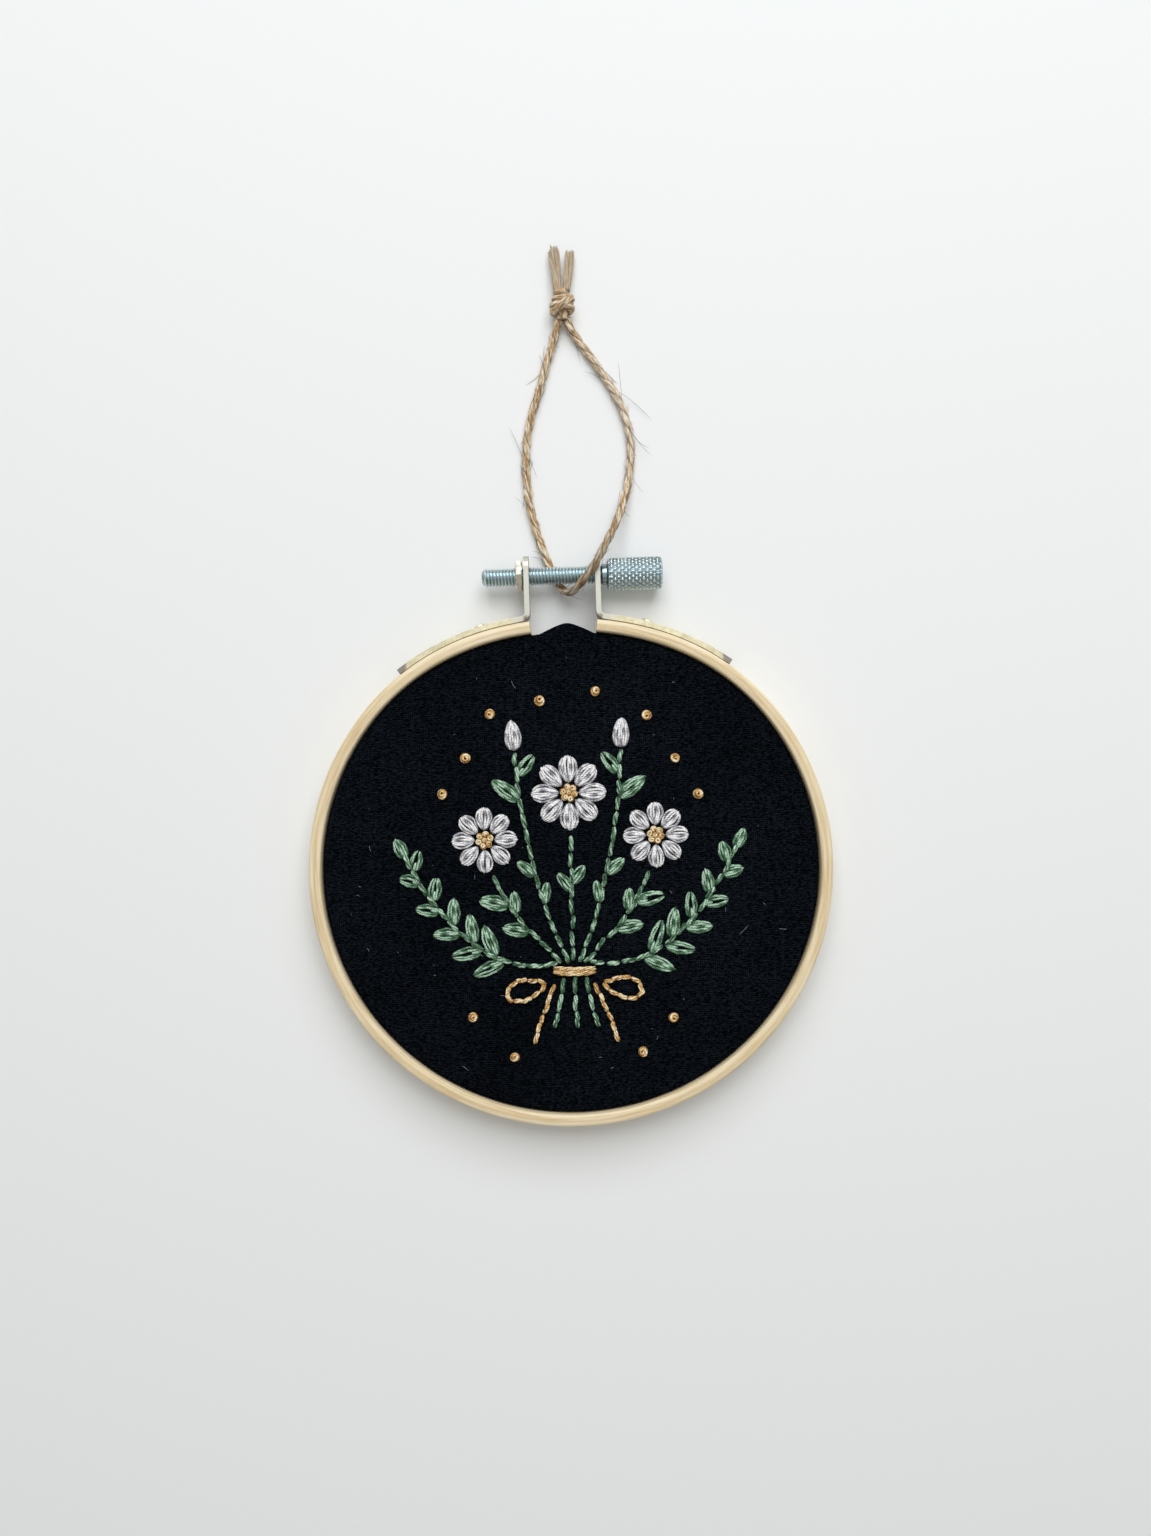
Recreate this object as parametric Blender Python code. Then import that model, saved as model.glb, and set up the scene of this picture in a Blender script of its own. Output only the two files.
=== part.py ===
"""Embroidery hoop art: stretched cloth in a clamped wooden hoop, with a knotted loop of jute twine.

Metres, +Z up. The hoop lies on its back with the embroidered face up and its clamp screw towards +Y.
Angles round the hoop start at the clamp gap (+Y) and run clockwise, seen from the front.
"""
import math

import bmesh
import bpy
import numpy as np
from mathutils import Vector

GAP = 0.0003                    # clear space between touching pieces

# Hoop: a nominal 4 inch size. The ring is squeezed a little flat beside the clamp
HOOP_DEPTH = 0.0090
RING_WALL = 0.0025              # radial thickness of both rings
RING_INNER_R = 0.0525           # inner radius of the outer ring, at its sides
RING_SQUEEZE_Y = 0.0010         # how much less that radius is at the top and bottom
CLAMP_SQUEEZE = 0.0014          # and how much less again at the clamp
CLAMP_SQUEEZE_DEG = 50.0
RING_EDGE = 0.0006              # chamfer on the rings' edges
GAP_HALF = 0.0070               # half of the opening between the outer ring's ends
HOOP_Y = -0.00625               # the hoop's centre, so that the origin is under the middle of the part

# Cloth, stretched over the inner ring and trimmed flush at the back
CLOTH_FRONT = 0.0079
CLOTH_THICK = 0.0010
CLOTH_TAIL = 0.0004             # height of the trimmed edge above the back
FOLD_R = 0.0009
TENT_RISE = 0.0020              # the cloth bulges into the clamp gap
TENT_X = 0.0007
TENT_HALF = 0.0058
TENT_TIP = 0.0011               # roundness of the bulge's tip

# Clamp: bent steel strips, their ears, a nut and a knurled thumb screw
STRIP_THICK = 0.00113
STRIP_WIDTH = 0.0056
STRIP_END_DEG = 39.5
EAR_TOP = 0.0665                # above the hoop's centre
EAR_ROUND = 0.0024
FOOT_BEND = 0.0014
SCREW_Y = 0.0622                # screw axis above the hoop's centre
SCREW_Z = 0.0045
SCREW_R = 0.0020                # M4
THREAD_PITCH = 0.0007
THREAD_DEEP = 0.00035
SCREW_TIP_X = -0.0170
COLLAR_R = 0.0022
HEAD_X = 0.0096
HEAD_END_X = 0.0213
HEAD_R = 0.0035
HEAD_EDGE = 0.0004
KNURL_DEEP = 0.00020
KNURL_SIDES = 14
KNURL_STEPS = 19
HOLE_R = SCREW_R + GAP
NUT_FLATS = 0.0063
NUT_THICK = 0.00135
RIVET_DEG = 19.0
RIVET_R = 0.0013
RIVET_HIGH = 0.0005

# Twine: a 1.8 mm two-ply jute cord
TWINE_D = 0.0018
TWINE_WAIST = 0.60              # the section's small radius as a share of its large one
TWIST_PITCH = 0.0046
TWIST_STEPS = 5
KNOT_CENTRE = (0.0018, 0.1206, 0.0025)
KNOT_HALF_LONG = 0.0031
KNOT_R = 0.0026
KNOT_RIDGE = 0.00022
KNOT_WRAP = 0.0018
LOWEST = 0.00004                # nothing of the twine is lower than this

# The twine's route by the hoop's centre: down the left leg, under the screw, round it and up the right leg
TWINE_ROUTE = (
    (0.0007, 0.1172, 0.0018), (-0.0002, 0.1136, 0.0011), (-0.0019, 0.1086, 0.00095),
    (-0.0038, 0.1026, 0.00095), (-0.0056, 0.0972, 0.00095), (-0.0067, 0.0920, 0.00095),
    (-0.0070, 0.0870, 0.00095), (-0.0069, 0.0820, 0.00095), (-0.0063, 0.0770, 0.00095),
    (-0.0051, 0.0722, 0.00095), (-0.0038, 0.0682, 0.00100), (-0.0027, 0.0651, 0.00112),
    (-0.0014, 0.0623, 0.00122), (-0.0004, 0.0602, 0.0020), (0.0008, 0.0588, 0.0037),
    (0.0021, 0.0587, 0.0054), (0.0036, 0.0597, 0.0072), (0.0050, 0.0612, 0.0082),
    (0.0066, 0.0632, 0.0087), (0.0082, 0.0658, 0.0087), (0.0098, 0.0688, 0.0080),
    (0.0111, 0.0714, 0.0066), (0.0125, 0.0746, 0.0046), (0.0138, 0.0784, 0.0026),
    (0.0149, 0.0824, 0.0013), (0.0155, 0.0866, 0.00095), (0.0157, 0.0906, 0.00095),
    (0.0150, 0.0956, 0.00095), (0.0134, 0.1002, 0.00095), (0.0114, 0.1040, 0.00095),
    (0.0091, 0.1076, 0.00095), (0.0065, 0.1114, 0.00095), (0.0043, 0.1146, 0.0011),
    (0.0029, 0.1172, 0.0018),
)
# The free ends: root, tip, root radius, tip radius
TWINE_TAILS = {
    "twine_tail_left": ((0.0008, 0.1242, 0.0022), (0.0004, 0.1334, 0.0013), 0.00080, 0.00120),
    "twine_tail_right": ((0.0030, 0.1242, 0.0020), (0.0039, 0.1325, 0.0011), 0.00080, 0.00095),
}

# Embroidery: a tied posy. Each stitched area is a low pad on the cloth; the threads themselves are finer
PAD_Z = CLOTH_FRONT + GAP
PAD_HIGH = 0.0006
STEM_WIDE = 0.0008
STEM_HIGH = 0.0004
STEM_STEPS = 9
STEM_LIFT = 0.00007             # a stem starts this much above the underside of its leaves
LEAF_STEP = 0.00003             # and right-hand leaves this much above left-hand ones
LEAF_HIGH = 0.0006
BLADE_STEPS = 5
TIE_Y = -0.0196
TIE_STEP = 0.0011               # the stems' spacing side by side at the tie

# Green sprays for the left half. Columns: the stem's place in the tie, its control point, its end
STEMS = {
    "fern": (3, (-0.0215, -0.0235), (-0.0350, 0.0040)),
    "spray": (2, (-0.0122, -0.0112), (-0.0164, -0.0010)),
    "bud_stem": (1, (-0.0094, -0.0020), (-0.0112, 0.0250)),
}
# Leaves on those stems. Columns: stem, place along it, side (1 left, -1 right), angle, length, width
LEAVES = (
    ("spray", 0.38, 1, 40, 0.0062, 0.0028),
    ("spray", 0.58, -1, 32, 0.0050, 0.0024),
    ("spray", 0.68, 1, 46, 0.0068, 0.0030),
    ("bud_stem", 0.32, -1, 24, 0.0050, 0.0020),
    ("bud_stem", 0.46, 1, 36, 0.0052, 0.0024),
    ("bud_stem", 0.80, 1, 46, 0.0076, 0.0032),
    ("bud_stem", 0.90, -1, 44, 0.0060, 0.0026),
)
FERN_PAIRS = 5
FERN_FROM, FERN_TO = 0.32, 0.88
FERN_LONG, FERN_SHORT = 0.0076, 0.0048
FERN_WIDE = 0.0026
FERN_DEG = 44.0
FERN_STAGGER = 0.05             # the inner leaflets sit this much further along
MID_STEM_END = 0.0070
MID_LEAF = (0.62, 36, 0.0050, 0.0022)   # place along the middle stem, angle, length, width

# Flowers. Columns: centre, radius
DAISIES = {
    "daisy_mid": ((0.0, 0.0160), 0.0082),
    "daisy_left": ((-0.0180, 0.0066), 0.0072),
    "daisy_right": ((0.0180, 0.0066), 0.0072),
}
PETALS = 8
DAISY_EYE_R = 0.0023
DAISY_DIP = 0.42                # how deep the outline goes in between two petals
BUD_LONG, BUD_WIDE = 0.0068, 0.0034

# Gold thread: the tie, its bow and scattered berries
BAND = (0.0046, 0.0020)         # half width, height
BAND_Y = -0.0211
BOW_LOOP = ((-0.0102, -0.0250), 0.0042, 0.0021, 14.0)   # centre, half length, half height, tilt
BOW_WIDE = 0.0010
BOW_TAIL = ((-0.0043, -0.0244), (-0.0066, -0.0296), (-0.0088, -0.0362))
STEM_ENDS = {"left": (-0.0026, -0.0046), "mid": (0.0, 0.0003), "right": (0.0026, 0.0050)}
STEM_END_Y = (-0.0226, -0.0334)
BERRY_R = 0.00115
BERRIES = (
    (-0.0265, 0.0165), (-0.0215, 0.0240), (-0.0160, 0.0330), (-0.0055, 0.0355), (0.0062, 0.0372),
    (0.0168, 0.0318), (0.0225, 0.0226), (0.0272, 0.0150), (-0.0215, -0.0305), (0.0205, -0.0318),
    (-0.0130, -0.0392), (0.0140, -0.0388),
)


def material(name, colour, roughness, metallic=0.0):
    """A plain Principled BSDF, from linear colour values."""
    made = bpy.data.materials.new(name)
    made.use_nodes = True
    shader = made.node_tree.nodes["Principled BSDF"]
    shader.inputs["Base Color"].default_value = (*colour, 1.0)
    shader.inputs["Roughness"].default_value = roughness
    shader.inputs["Metallic"].default_value = metallic
    return made


def add_object(name, bm, finish, smooth_deg=35.0):
    """Turn a closed bmesh into an object with outward faces and one material."""
    bmesh.ops.recalc_face_normals(bm, faces=bm.faces)
    mesh = bpy.data.meshes.new(name)
    bm.to_mesh(mesh)
    bm.free()
    mesh.materials.append(finish)
    mesh.shade_smooth()
    mesh.set_sharp_from_angle(angle=math.radians(smooth_deg))
    made = bpy.data.objects.new(name, mesh)
    bpy.context.scene.collection.objects.link(made)
    return made


def loft(rings, closed_path=False):
    """A bmesh skin over rings of equal length: capped at both ends, or joined round into a loop."""
    bm = bmesh.new()
    rows = [[bm.verts.new(point) for point in ring] for ring in rings]
    count = len(rows[0])
    pairs = list(zip(rows, rows[1:] + rows[:1])) if closed_path else list(zip(rows, rows[1:]))
    for low, high in pairs:
        for i in range(count):
            j = (i + 1) % count
            bm.faces.new((low[i], low[j], high[j], high[i]))
    if not closed_path:
        bm.faces.new(rows[0][::-1])
        bm.faces.new(rows[-1])
    return bm


def cut(target, cutter, operation="DIFFERENCE"):
    """Apply an exact Boolean with an object that is only a tool, then remove that tool."""
    step = target.modifiers.new(operation.title(), "BOOLEAN")
    step.operation = operation
    step.object = cutter
    held = bpy.context.evaluated_depsgraph_get()
    result = bpy.data.meshes.new_from_object(target.evaluated_get(held))
    target.modifiers.clear()
    old = target.data
    target.data = result
    bpy.data.meshes.remove(old)
    bpy.data.objects.remove(cutter)


def smooth_path(points, steps):
    """Points on a Catmull-Rom curve through a list of points, with a fixed number in each span."""
    p = np.array(points, float)
    p = np.vstack([2 * p[0] - p[1], p, 2 * p[-1] - p[-2]])
    t = np.linspace(0.0, 1.0, steps, endpoint=False)[:, None]
    spans = []
    for a, b, c, d in zip(p, p[1:], p[2:], p[3:]):
        spans.append(0.5 * (2 * b + (c - a) * t + (2 * a - 5 * b + 4 * c - d) * t**2
                            + (3 * b - a - 3 * c + d) * t**3))
    return np.vstack([*spans, p[-2:-1]])


def even_path(points, count):
    """The same path with a fixed number of evenly spaced points."""
    along = np.concatenate([[0.0], np.cumsum(np.linalg.norm(np.diff(points, axis=0), axis=1))])
    at = np.linspace(0.0, along[-1], count)
    return np.column_stack([np.interp(at, along, points[:, k]) for k in range(3)]), along[-1]


def frames(path):
    """Tangents with two cross directions that are carried along the path without turning."""
    tangents = np.gradient(path, axis=0)
    tangents /= np.linalg.norm(tangents, axis=1)[:, None]
    side = np.cross(tangents[0], (0.0, 0.0, 1.0))
    sides = []
    for tangent in tangents:
        side = side - tangent * side.dot(tangent)
        side = side / np.linalg.norm(side)
        sides.append(side)
    sides = np.array(sides)
    return tangents, sides, np.cross(sides, tangents)


def inner_radius(degrees):
    """Inner radius of the outer ring: less at top and bottom, and less again at the clamp."""
    from_clamp = (degrees + 180.0) % 360.0 - 180.0
    squeeze = CLAMP_SQUEEZE * np.cos(np.radians(from_clamp) * 90.0 / CLAMP_SQUEEZE_DEG) ** 2
    squeeze = np.where(np.abs(from_clamp) < CLAMP_SQUEEZE_DEG, squeeze, 0.0)
    return RING_INNER_R - RING_SQUEEZE_Y * np.cos(np.radians(from_clamp)) ** 2 - squeeze


def around(degrees, radius, z):
    """A point by its angle from the clamp, its radius and its height."""
    a = math.radians(degrees)
    return (radius * math.sin(a), radius * math.cos(a) + HOOP_Y, z)


def ring_section(inner, outer, top):
    """Corner points (radius, height) of a ring's section, with its edges taken off."""
    e = RING_EDGE
    return ((inner + e, 0.0), (outer - e, 0.0), (outer, e), (outer, top - e),
            (outer - e, top), (inner + e, top), (inner, top - e), (inner, e))


def make_outer_ring(wood):
    """The split outer ring, open at the clamp."""
    first = math.degrees(math.asin(GAP_HALF / (float(inner_radius(0.0)) + RING_WALL / 2)))
    rings = []
    for degrees in np.linspace(first, 360.0 - first, 57):
        r = float(inner_radius(degrees))
        rings.append([around(degrees, *p) for p in ring_section(r, r + RING_WALL, HOOP_DEPTH)])
    return add_object("outer_ring", loft(rings), wood)


def make_inner_ring(wood):
    """The whole inner ring that the cloth is stretched over."""
    rings = []
    top = CLOTH_FRONT - CLOTH_THICK - GAP
    for degrees in np.linspace(0.0, 360.0, 48, endpoint=False):
        outer = float(inner_radius(degrees)) - 2 * GAP - CLOTH_THICK
        rings.append([around(degrees, *p) for p in ring_section(outer - RING_WALL, outer, top)])
    return add_object("inner_ring", loft(rings, closed_path=True), wood)


def cloth_radius(degrees):
    """Outer radius of the cloth's wall, with the bulge in the clamp gap."""
    radius = float(inner_radius(degrees)) - GAP
    x = radius * math.sin(math.radians(degrees))
    if math.cos(math.radians(degrees)) < 0 or abs(x - TENT_X) > TENT_HALF:
        return radius
    reach = math.hypot(TENT_HALF, TENT_TIP) - TENT_TIP
    slope = (math.hypot(x - TENT_X, TENT_TIP) - TENT_TIP) / reach
    return radius + TENT_RISE * (1.0 - slope)


def make_cloth(fabric):
    """One drum of cloth: a flat face, a rounded fold over the inner ring and a trimmed wall."""
    near = np.arange(-8.0, 8.1, 1.6)
    angles = np.concatenate([near, np.linspace(13.0, 347.0, 50)])
    front, under = CLOTH_FRONT, CLOTH_FRONT - CLOTH_THICK
    f, w = FOLD_R, CLOTH_THICK
    section = ((-0.020, front), (-f, front), (-f * 0.3, front - f * 0.3), (0.0, front - f),
               (0.0, CLOTH_TAIL), (-w, CLOTH_TAIL), (-w, under - 0.5 * f),
               (-w - 0.3 * f, under - 0.1 * f), (-w - f, under), (-0.020, under))
    rings = []
    for inset, z in section:
        rings.append([around(d, cloth_radius(d) + inset, z) for d in angles])
    return add_object("cloth", loft(rings), fabric, smooth_deg=60.0)


def make_bracket(side, steel):
    """A strip bent round the ring with its ear standing up beside the clamp gap. side is -1 or 1."""
    ear_x = GAP_HALF + STRIP_THICK / 2
    lift = RING_WALL + GAP + STRIP_THICK / 2
    path = []
    for degrees in np.linspace(STRIP_END_DEG, 10.5, 13):
        r = float(inner_radius(degrees)) + lift
        path.append(Vector((r * math.sin(math.radians(degrees)), r * math.cos(math.radians(degrees)), 0)))
    foot = path[-1].y + 0.0002
    for degrees in (20.0, 45.0, 70.0):
        a = math.radians(degrees)
        path.append(Vector((ear_x + FOOT_BEND * (1 - math.sin(a)), foot + FOOT_BEND * (1 - math.cos(a)), 0)))
    path += [Vector((ear_x, foot + FOOT_BEND, 0)), Vector((ear_x, EAR_TOP, 0))]
    left, right = [], []
    for i, p in enumerate(path):
        along = (path[min(i + 1, len(path) - 1)] - path[max(i - 1, 0)]).normalized()
        across = Vector((-along.y, along.x, 0)) * (STRIP_THICK / 2)
        left.append(p + across)
        right.append(p - across)
    outline = left + right[::-1]
    bm = bmesh.new()
    low, high = SCREW_Z - STRIP_WIDTH / 2, SCREW_Z + STRIP_WIDTH / 2
    base = bm.faces.new([bm.verts.new((side * p.x, p.y + HOOP_Y, low)) for p in outline])
    grown = bmesh.ops.extrude_face_region(bm, geom=[base])["geom"]
    bmesh.ops.translate(bm, verts=[v for v in grown if isinstance(v, bmesh.types.BMVert)],
                        vec=(0, 0, high - low))
    top = EAR_TOP + HOOP_Y
    corners = [e for e in bm.edges if all(abs(v.co.y - top) < GAP / 3 for v in e.verts)
               and abs(e.verts[0].co.z - e.verts[1].co.z) < GAP / 3]
    bmesh.ops.bevel(bm, geom=corners, offset=EAR_ROUND, segments=4, profile=0.5, affect="EDGES")
    name = "bracket_left" if side < 0 else "bracket_right"
    bracket = add_object(name, bm, steel)
    hole = bmesh.new()
    bmesh.ops.create_cone(hole, segments=16, radius1=HOLE_R, radius2=HOLE_R, depth=4 * STRIP_THICK, cap_ends=True)
    drill = add_object("drill", hole, steel)
    drill.rotation_euler = (0, math.pi / 2, 0)
    drill.location = (side * ear_x, SCREW_Y + HOOP_Y, SCREW_Z)
    cut(bracket, drill)
    return bracket


def make_rivet(side, steel):
    """The low domed head that pins a strip to the ring."""
    seat = float(inner_radius(RIVET_DEG)) + RING_WALL + STRIP_THICK + 2 * GAP
    a = math.radians(side * RIVET_DEG)
    outward = Vector((math.sin(a), math.cos(a), 0))
    along = Vector((outward.y, -outward.x, 0))
    centre = outward * seat + Vector((0, HOOP_Y, SCREW_Z))
    rings = []
    for share, height in ((1.0, 0.0), (0.95, 0.45), (0.6, 0.85), (0.25, 1.0)):
        ring = []
        for t in np.linspace(0, 2 * math.pi, 10, endpoint=False):
            flat = along * math.cos(t) + Vector((0, 0, 1)) * math.sin(t)
            ring.append(centre + flat * (RIVET_R * share) + outward * (RIVET_HIGH * height))
        rings.append(ring)
    return add_object("rivet_left" if side < 0 else "rivet_right", loft(rings), steel)


def make_nut(steel):
    """A thin six-sided nut on the outer face of the left ear, with a corner to the front."""
    sides, per_side = 6, 2
    count = sides * per_side
    x_in = -GAP_HALF - STRIP_THICK - GAP
    outside, inside = [], []
    for k in range(count):
        a = 2 * math.pi * k / count
        within = (a + math.pi / sides) % (2 * math.pi / sides) - math.pi / sides
        reach = NUT_FLATS / 2 / math.cos(within)
        outside.append((math.cos(a) * reach, math.sin(a) * reach))
        inside.append((math.cos(a) * HOLE_R, math.sin(a) * HOLE_R))
    rings = []
    for outline, x in ((outside, x_in), (outside, x_in - NUT_THICK), (inside, x_in - NUT_THICK), (inside, x_in)):
        rings.append([(x, SCREW_Y + HOOP_Y + y, SCREW_Z + z) for y, z in outline])
    return add_object("clamp_nut", loft(rings, closed_path=True), steel, smooth_deg=20.0)


def make_screw(steel):
    """One turned piece: threaded rod, plain collar and knurled head, about an axis along X."""
    crest, root = SCREW_R, SCREW_R - THREAD_DEEP
    collar_x = GAP_HALF + STRIP_THICK + GAP
    turns = int((collar_x - GAP - SCREW_TIP_X) / THREAD_PITCH)
    stations = [(SCREW_TIP_X, root - THREAD_DEEP, 0.0)]
    for k in range(turns):
        x = SCREW_TIP_X + (k + 0.5) * THREAD_PITCH
        stations += [(x, crest, 0.0), (x + THREAD_PITCH / 2, root, 0.0)]
    stations += [(collar_x, root, 0.0), (collar_x, COLLAR_R, 0.0), (HEAD_X, COLLAR_R, 0.0),
                 (HEAD_X, HEAD_R - HEAD_EDGE, 0.0)]
    first, last = HEAD_X + HEAD_EDGE, HEAD_END_X - HEAD_EDGE
    for k in range(KNURL_STEPS + 1):
        stations.append((first + (last - first) * k / KNURL_STEPS, HEAD_R, 1.0 if k % 2 else -1.0))
    stations.append((HEAD_END_X, HEAD_R - HEAD_EDGE, 0.0))
    rings = []
    for x, radius, phase in stations:
        ring = []
        for j in range(KNURL_SIDES):
            a = 2 * math.pi * j / KNURL_SIDES
            raised = phase * (1.0 if j % 2 else -1.0)
            r = radius - KNURL_DEEP * (raised < 0)
            ring.append((x, math.cos(a) * r, math.sin(a) * r))
        rings.append(ring)
    screw = add_object("clamp_screw", loft(rings), steel, smooth_deg=20.0)
    screw.location = (0, SCREW_Y + HOOP_Y, SCREW_Z)
    return screw


def make_twine_loop(jute):
    """The loop as a two-ply cord: a waisted section that turns along the route."""
    rough = smooth_path(TWINE_ROUTE, 6)
    _, length = even_path(rough, 200)
    count = round(length / TWIST_PITCH * TWIST_STEPS) + 1
    path, _ = even_path(rough, count)
    path[:, 1] += HOOP_Y
    _, sides, ups = frames(path)
    half = TWINE_D / 2
    rings = []
    for k in range(count):
        turn = 2 * math.pi * k / TWIST_STEPS
        a = np.linspace(0, 2 * math.pi, 6, endpoint=False)
        r = half * np.maximum(np.abs(np.cos(a)), TWINE_WAIST)
        ring = path[k] + np.outer(r * np.cos(a + turn), sides[k]) + np.outer(r * np.sin(a + turn), ups[k])
        ring[:, 2] = np.maximum(ring[:, 2], LOWEST)
        rings.append(ring.tolist())
    return add_object("twine_loop", loft(rings), jute, smooth_deg=80.0)


def make_knot(jute):
    """A barrel of wraps round both legs, with its turns raised, and flat where it lies."""
    cx, cy, cz = KNOT_CENTRE
    rings = []
    for share in np.linspace(-1.0, 1.0, 11):
        y = cy + HOOP_Y + share * KNOT_HALF_LONG
        base = KNOT_R * (1.0 - 0.42 * abs(share) ** 3)
        ring = []
        for a in np.linspace(0, 2 * math.pi, 14, endpoint=False):
            r = base + KNOT_RIDGE * math.cos(2 * math.pi * share * KNOT_HALF_LONG / KNOT_WRAP + a)
            ring.append((cx + 1.05 * r * math.cos(a), y, max(cz + 0.92 * r * math.sin(a), LOWEST)))
        rings.append(ring)
    return add_object("twine_knot", loft(rings), jute, smooth_deg=80.0)


def make_tail(name, root, tip, thin, wide, jute):
    """A cut end of the twine, which opens towards its tip and keeps the cord's twist."""
    path, _ = even_path(np.array([root, tip]), 10)
    path[:, 1] += HOOP_Y
    _, sides, ups = frames(path)
    rings = []
    for k, share in enumerate(np.linspace(0.0, 1.0, len(path))):
        half = thin + (wide - thin) * share
        a = np.linspace(0, 2 * math.pi, 8, endpoint=False)
        r = half * np.maximum(np.abs(np.cos(a)), TWINE_WAIST + 0.2 * share)
        turn = 2 * math.pi * k / TWIST_STEPS / 1.6
        ring = path[k] + np.outer(r * np.cos(a + turn), sides[k]) + np.outer(r * np.sin(a + turn), ups[k])
        ring[:, 2] = np.maximum(ring[:, 2], LOWEST)
        rings.append(ring.tolist())
    return add_object(name, loft(rings), jute, smooth_deg=80.0)


def bezier(start, control, end, t):
    """Point and unit direction on a curve with one control point."""
    a, b, c = (np.array(p, float) for p in (start, control, end))
    point = (1 - t) ** 2 * a + 2 * t * (1 - t) * b + t**2 * c
    along = 2 * (1 - t) * (b - a) + 2 * t * (c - b)
    return point, along / np.linalg.norm(along)


def strip_pad(points, wide, high, z=PAD_Z, closed_path=False):
    """A low ridge of thread along a flat path, with a five-sided section."""
    p = np.array(points, float)
    if closed_path:
        along = np.roll(p, -1, axis=0) - np.roll(p, 1, axis=0)
    else:
        along = np.gradient(p, axis=0)
    along /= np.linalg.norm(along, axis=1)[:, None]
    across = np.column_stack([-along[:, 1], along[:, 0]])
    section = ((-0.5, 0.0), (0.5, 0.0), (0.45, 0.55), (0.0, 1.0), (-0.45, 0.55))
    rings = []
    for (x, y), (nx, ny) in zip(p, across):
        rings.append([(x + nx * s * wide, y + ny * s * wide + HOOP_Y, z + h * high) for s, h in section])
    return loft(rings, closed_path)


def blade_pad(base, degrees, length, wide, high=LEAF_HIGH, full=0.85, lift=0.0):
    """A leaf-shaped pad from its base, pointing at an angle from +X. full moves its widest place."""
    t = np.linspace(0.0, 1.0, BLADE_STEPS)
    half = wide / 2 * np.sin(np.pi * t**full) ** 0.8
    along = np.concatenate([t * length, t[-2:0:-1] * length])
    across = np.concatenate([half, -half[-2:0:-1]])
    a = math.radians(degrees)
    rings = []
    middle = length / 2
    for share, z in ((1.0, 0.0), (1.0, 0.45), (0.5, 1.0)):
        u, v = middle + (along - middle) * share, across * share
        x = base[0] + u * math.cos(a) - v * math.sin(a)
        y = base[1] + u * math.sin(a) + v * math.cos(a) + HOOP_Y
        rings.append([(px, py, PAD_Z + lift + z * high) for px, py in zip(x, y)])
    return loft(rings)


def dome_pad(centre, radius, high, sides=9):
    """A round bead of thread."""
    rings = []
    for share, z in ((0.85, 0.0), (1.0, 0.4), (0.72, 0.82), (0.25, 1.0)):
        rings.append([(centre[0] + radius * share * math.cos(a),
                       centre[1] + radius * share * math.sin(a) + HOOP_Y, PAD_Z + z * high)
                      for a in np.linspace(0, 2 * math.pi, sides, endpoint=False)])
    return loft(rings)


def make_spray(name, start, control, end, leaves, thread):
    """One stem and its leaves, joined into a single pad. leaves holds (t, side, angle, length, width)."""
    points = [bezier(start, control, end, t)[0] for t in np.linspace(0, 1, STEM_STEPS)]
    spray = add_object(name, strip_pad(points, STEM_WIDE, STEM_HIGH, PAD_Z + STEM_LIFT), thread)
    for t, side, degrees, length, wide in leaves:
        base, along = bezier(start, control, end, t)
        heading = math.degrees(math.atan2(along[1], along[0])) + side * degrees
        base = base - along * side * LEAF_STEP
        lift = LEAF_STEP if side < 0 else 0.0
        leaf = add_object("leaf", blade_pad(base, heading, length, wide, lift=lift), thread)
        cut(spray, leaf, "UNION")
    return spray


def mirrored(point, side):
    """The left half's point, or its reflection in the right half. side is 1 for left, -1 for right."""
    return (point[0] * side, point[1])


def make_greens(thread):
    """The ferns, the flowers' sprays and the bud stems, on both sides, with the middle stem."""
    fern = []
    for k in range(FERN_PAIRS):
        share = k / (FERN_PAIRS - 1)
        t = FERN_FROM + (FERN_TO - FERN_FROM) * share
        length = FERN_LONG + (FERN_SHORT - FERN_LONG) * share
        fern += [(t, 1, FERN_DEG, length, FERN_WIDE), (t + FERN_STAGGER, -1, FERN_DEG, length, FERN_WIDE)]
    fern.append((0.985, 1, 0.0, FERN_SHORT, FERN_WIDE))
    for side, word in ((1, "left"), (-1, "right")):
        for stem, (place, control, end) in STEMS.items():
            leaves = fern if stem == "fern" else [row[1:] for row in LEAVES if row[0] == stem]
            leaves = [(t, hand * side, degrees, long, wide) for t, hand, degrees, long, wide in leaves]
            start = (-place * TIE_STEP * side, TIE_Y)
            make_spray(f"{stem}_{word}", start, mirrored(control, side), mirrored(end, side), leaves, thread)
    t, degrees, long, wide = MID_LEAF
    pair = [(t, 1, degrees, long, wide), (t + FERN_STAGGER, -1, degrees, long, wide)]
    make_spray("mid_stem", (0, TIE_Y), (0, TIE_Y / 2), (0, MID_STEM_END), pair, thread)
    for word, (top_x, low_x) in STEM_ENDS.items():
        top_y, low_y = STEM_END_Y
        points = [bezier((top_x, top_y), (top_x, (top_y + low_y) / 2), (low_x, low_y), t)[0]
                  for t in np.linspace(0, 1, 5)]
        add_object(f"stem_end_{word}", strip_pad(points, STEM_WIDE, STEM_HIGH), thread)


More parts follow.
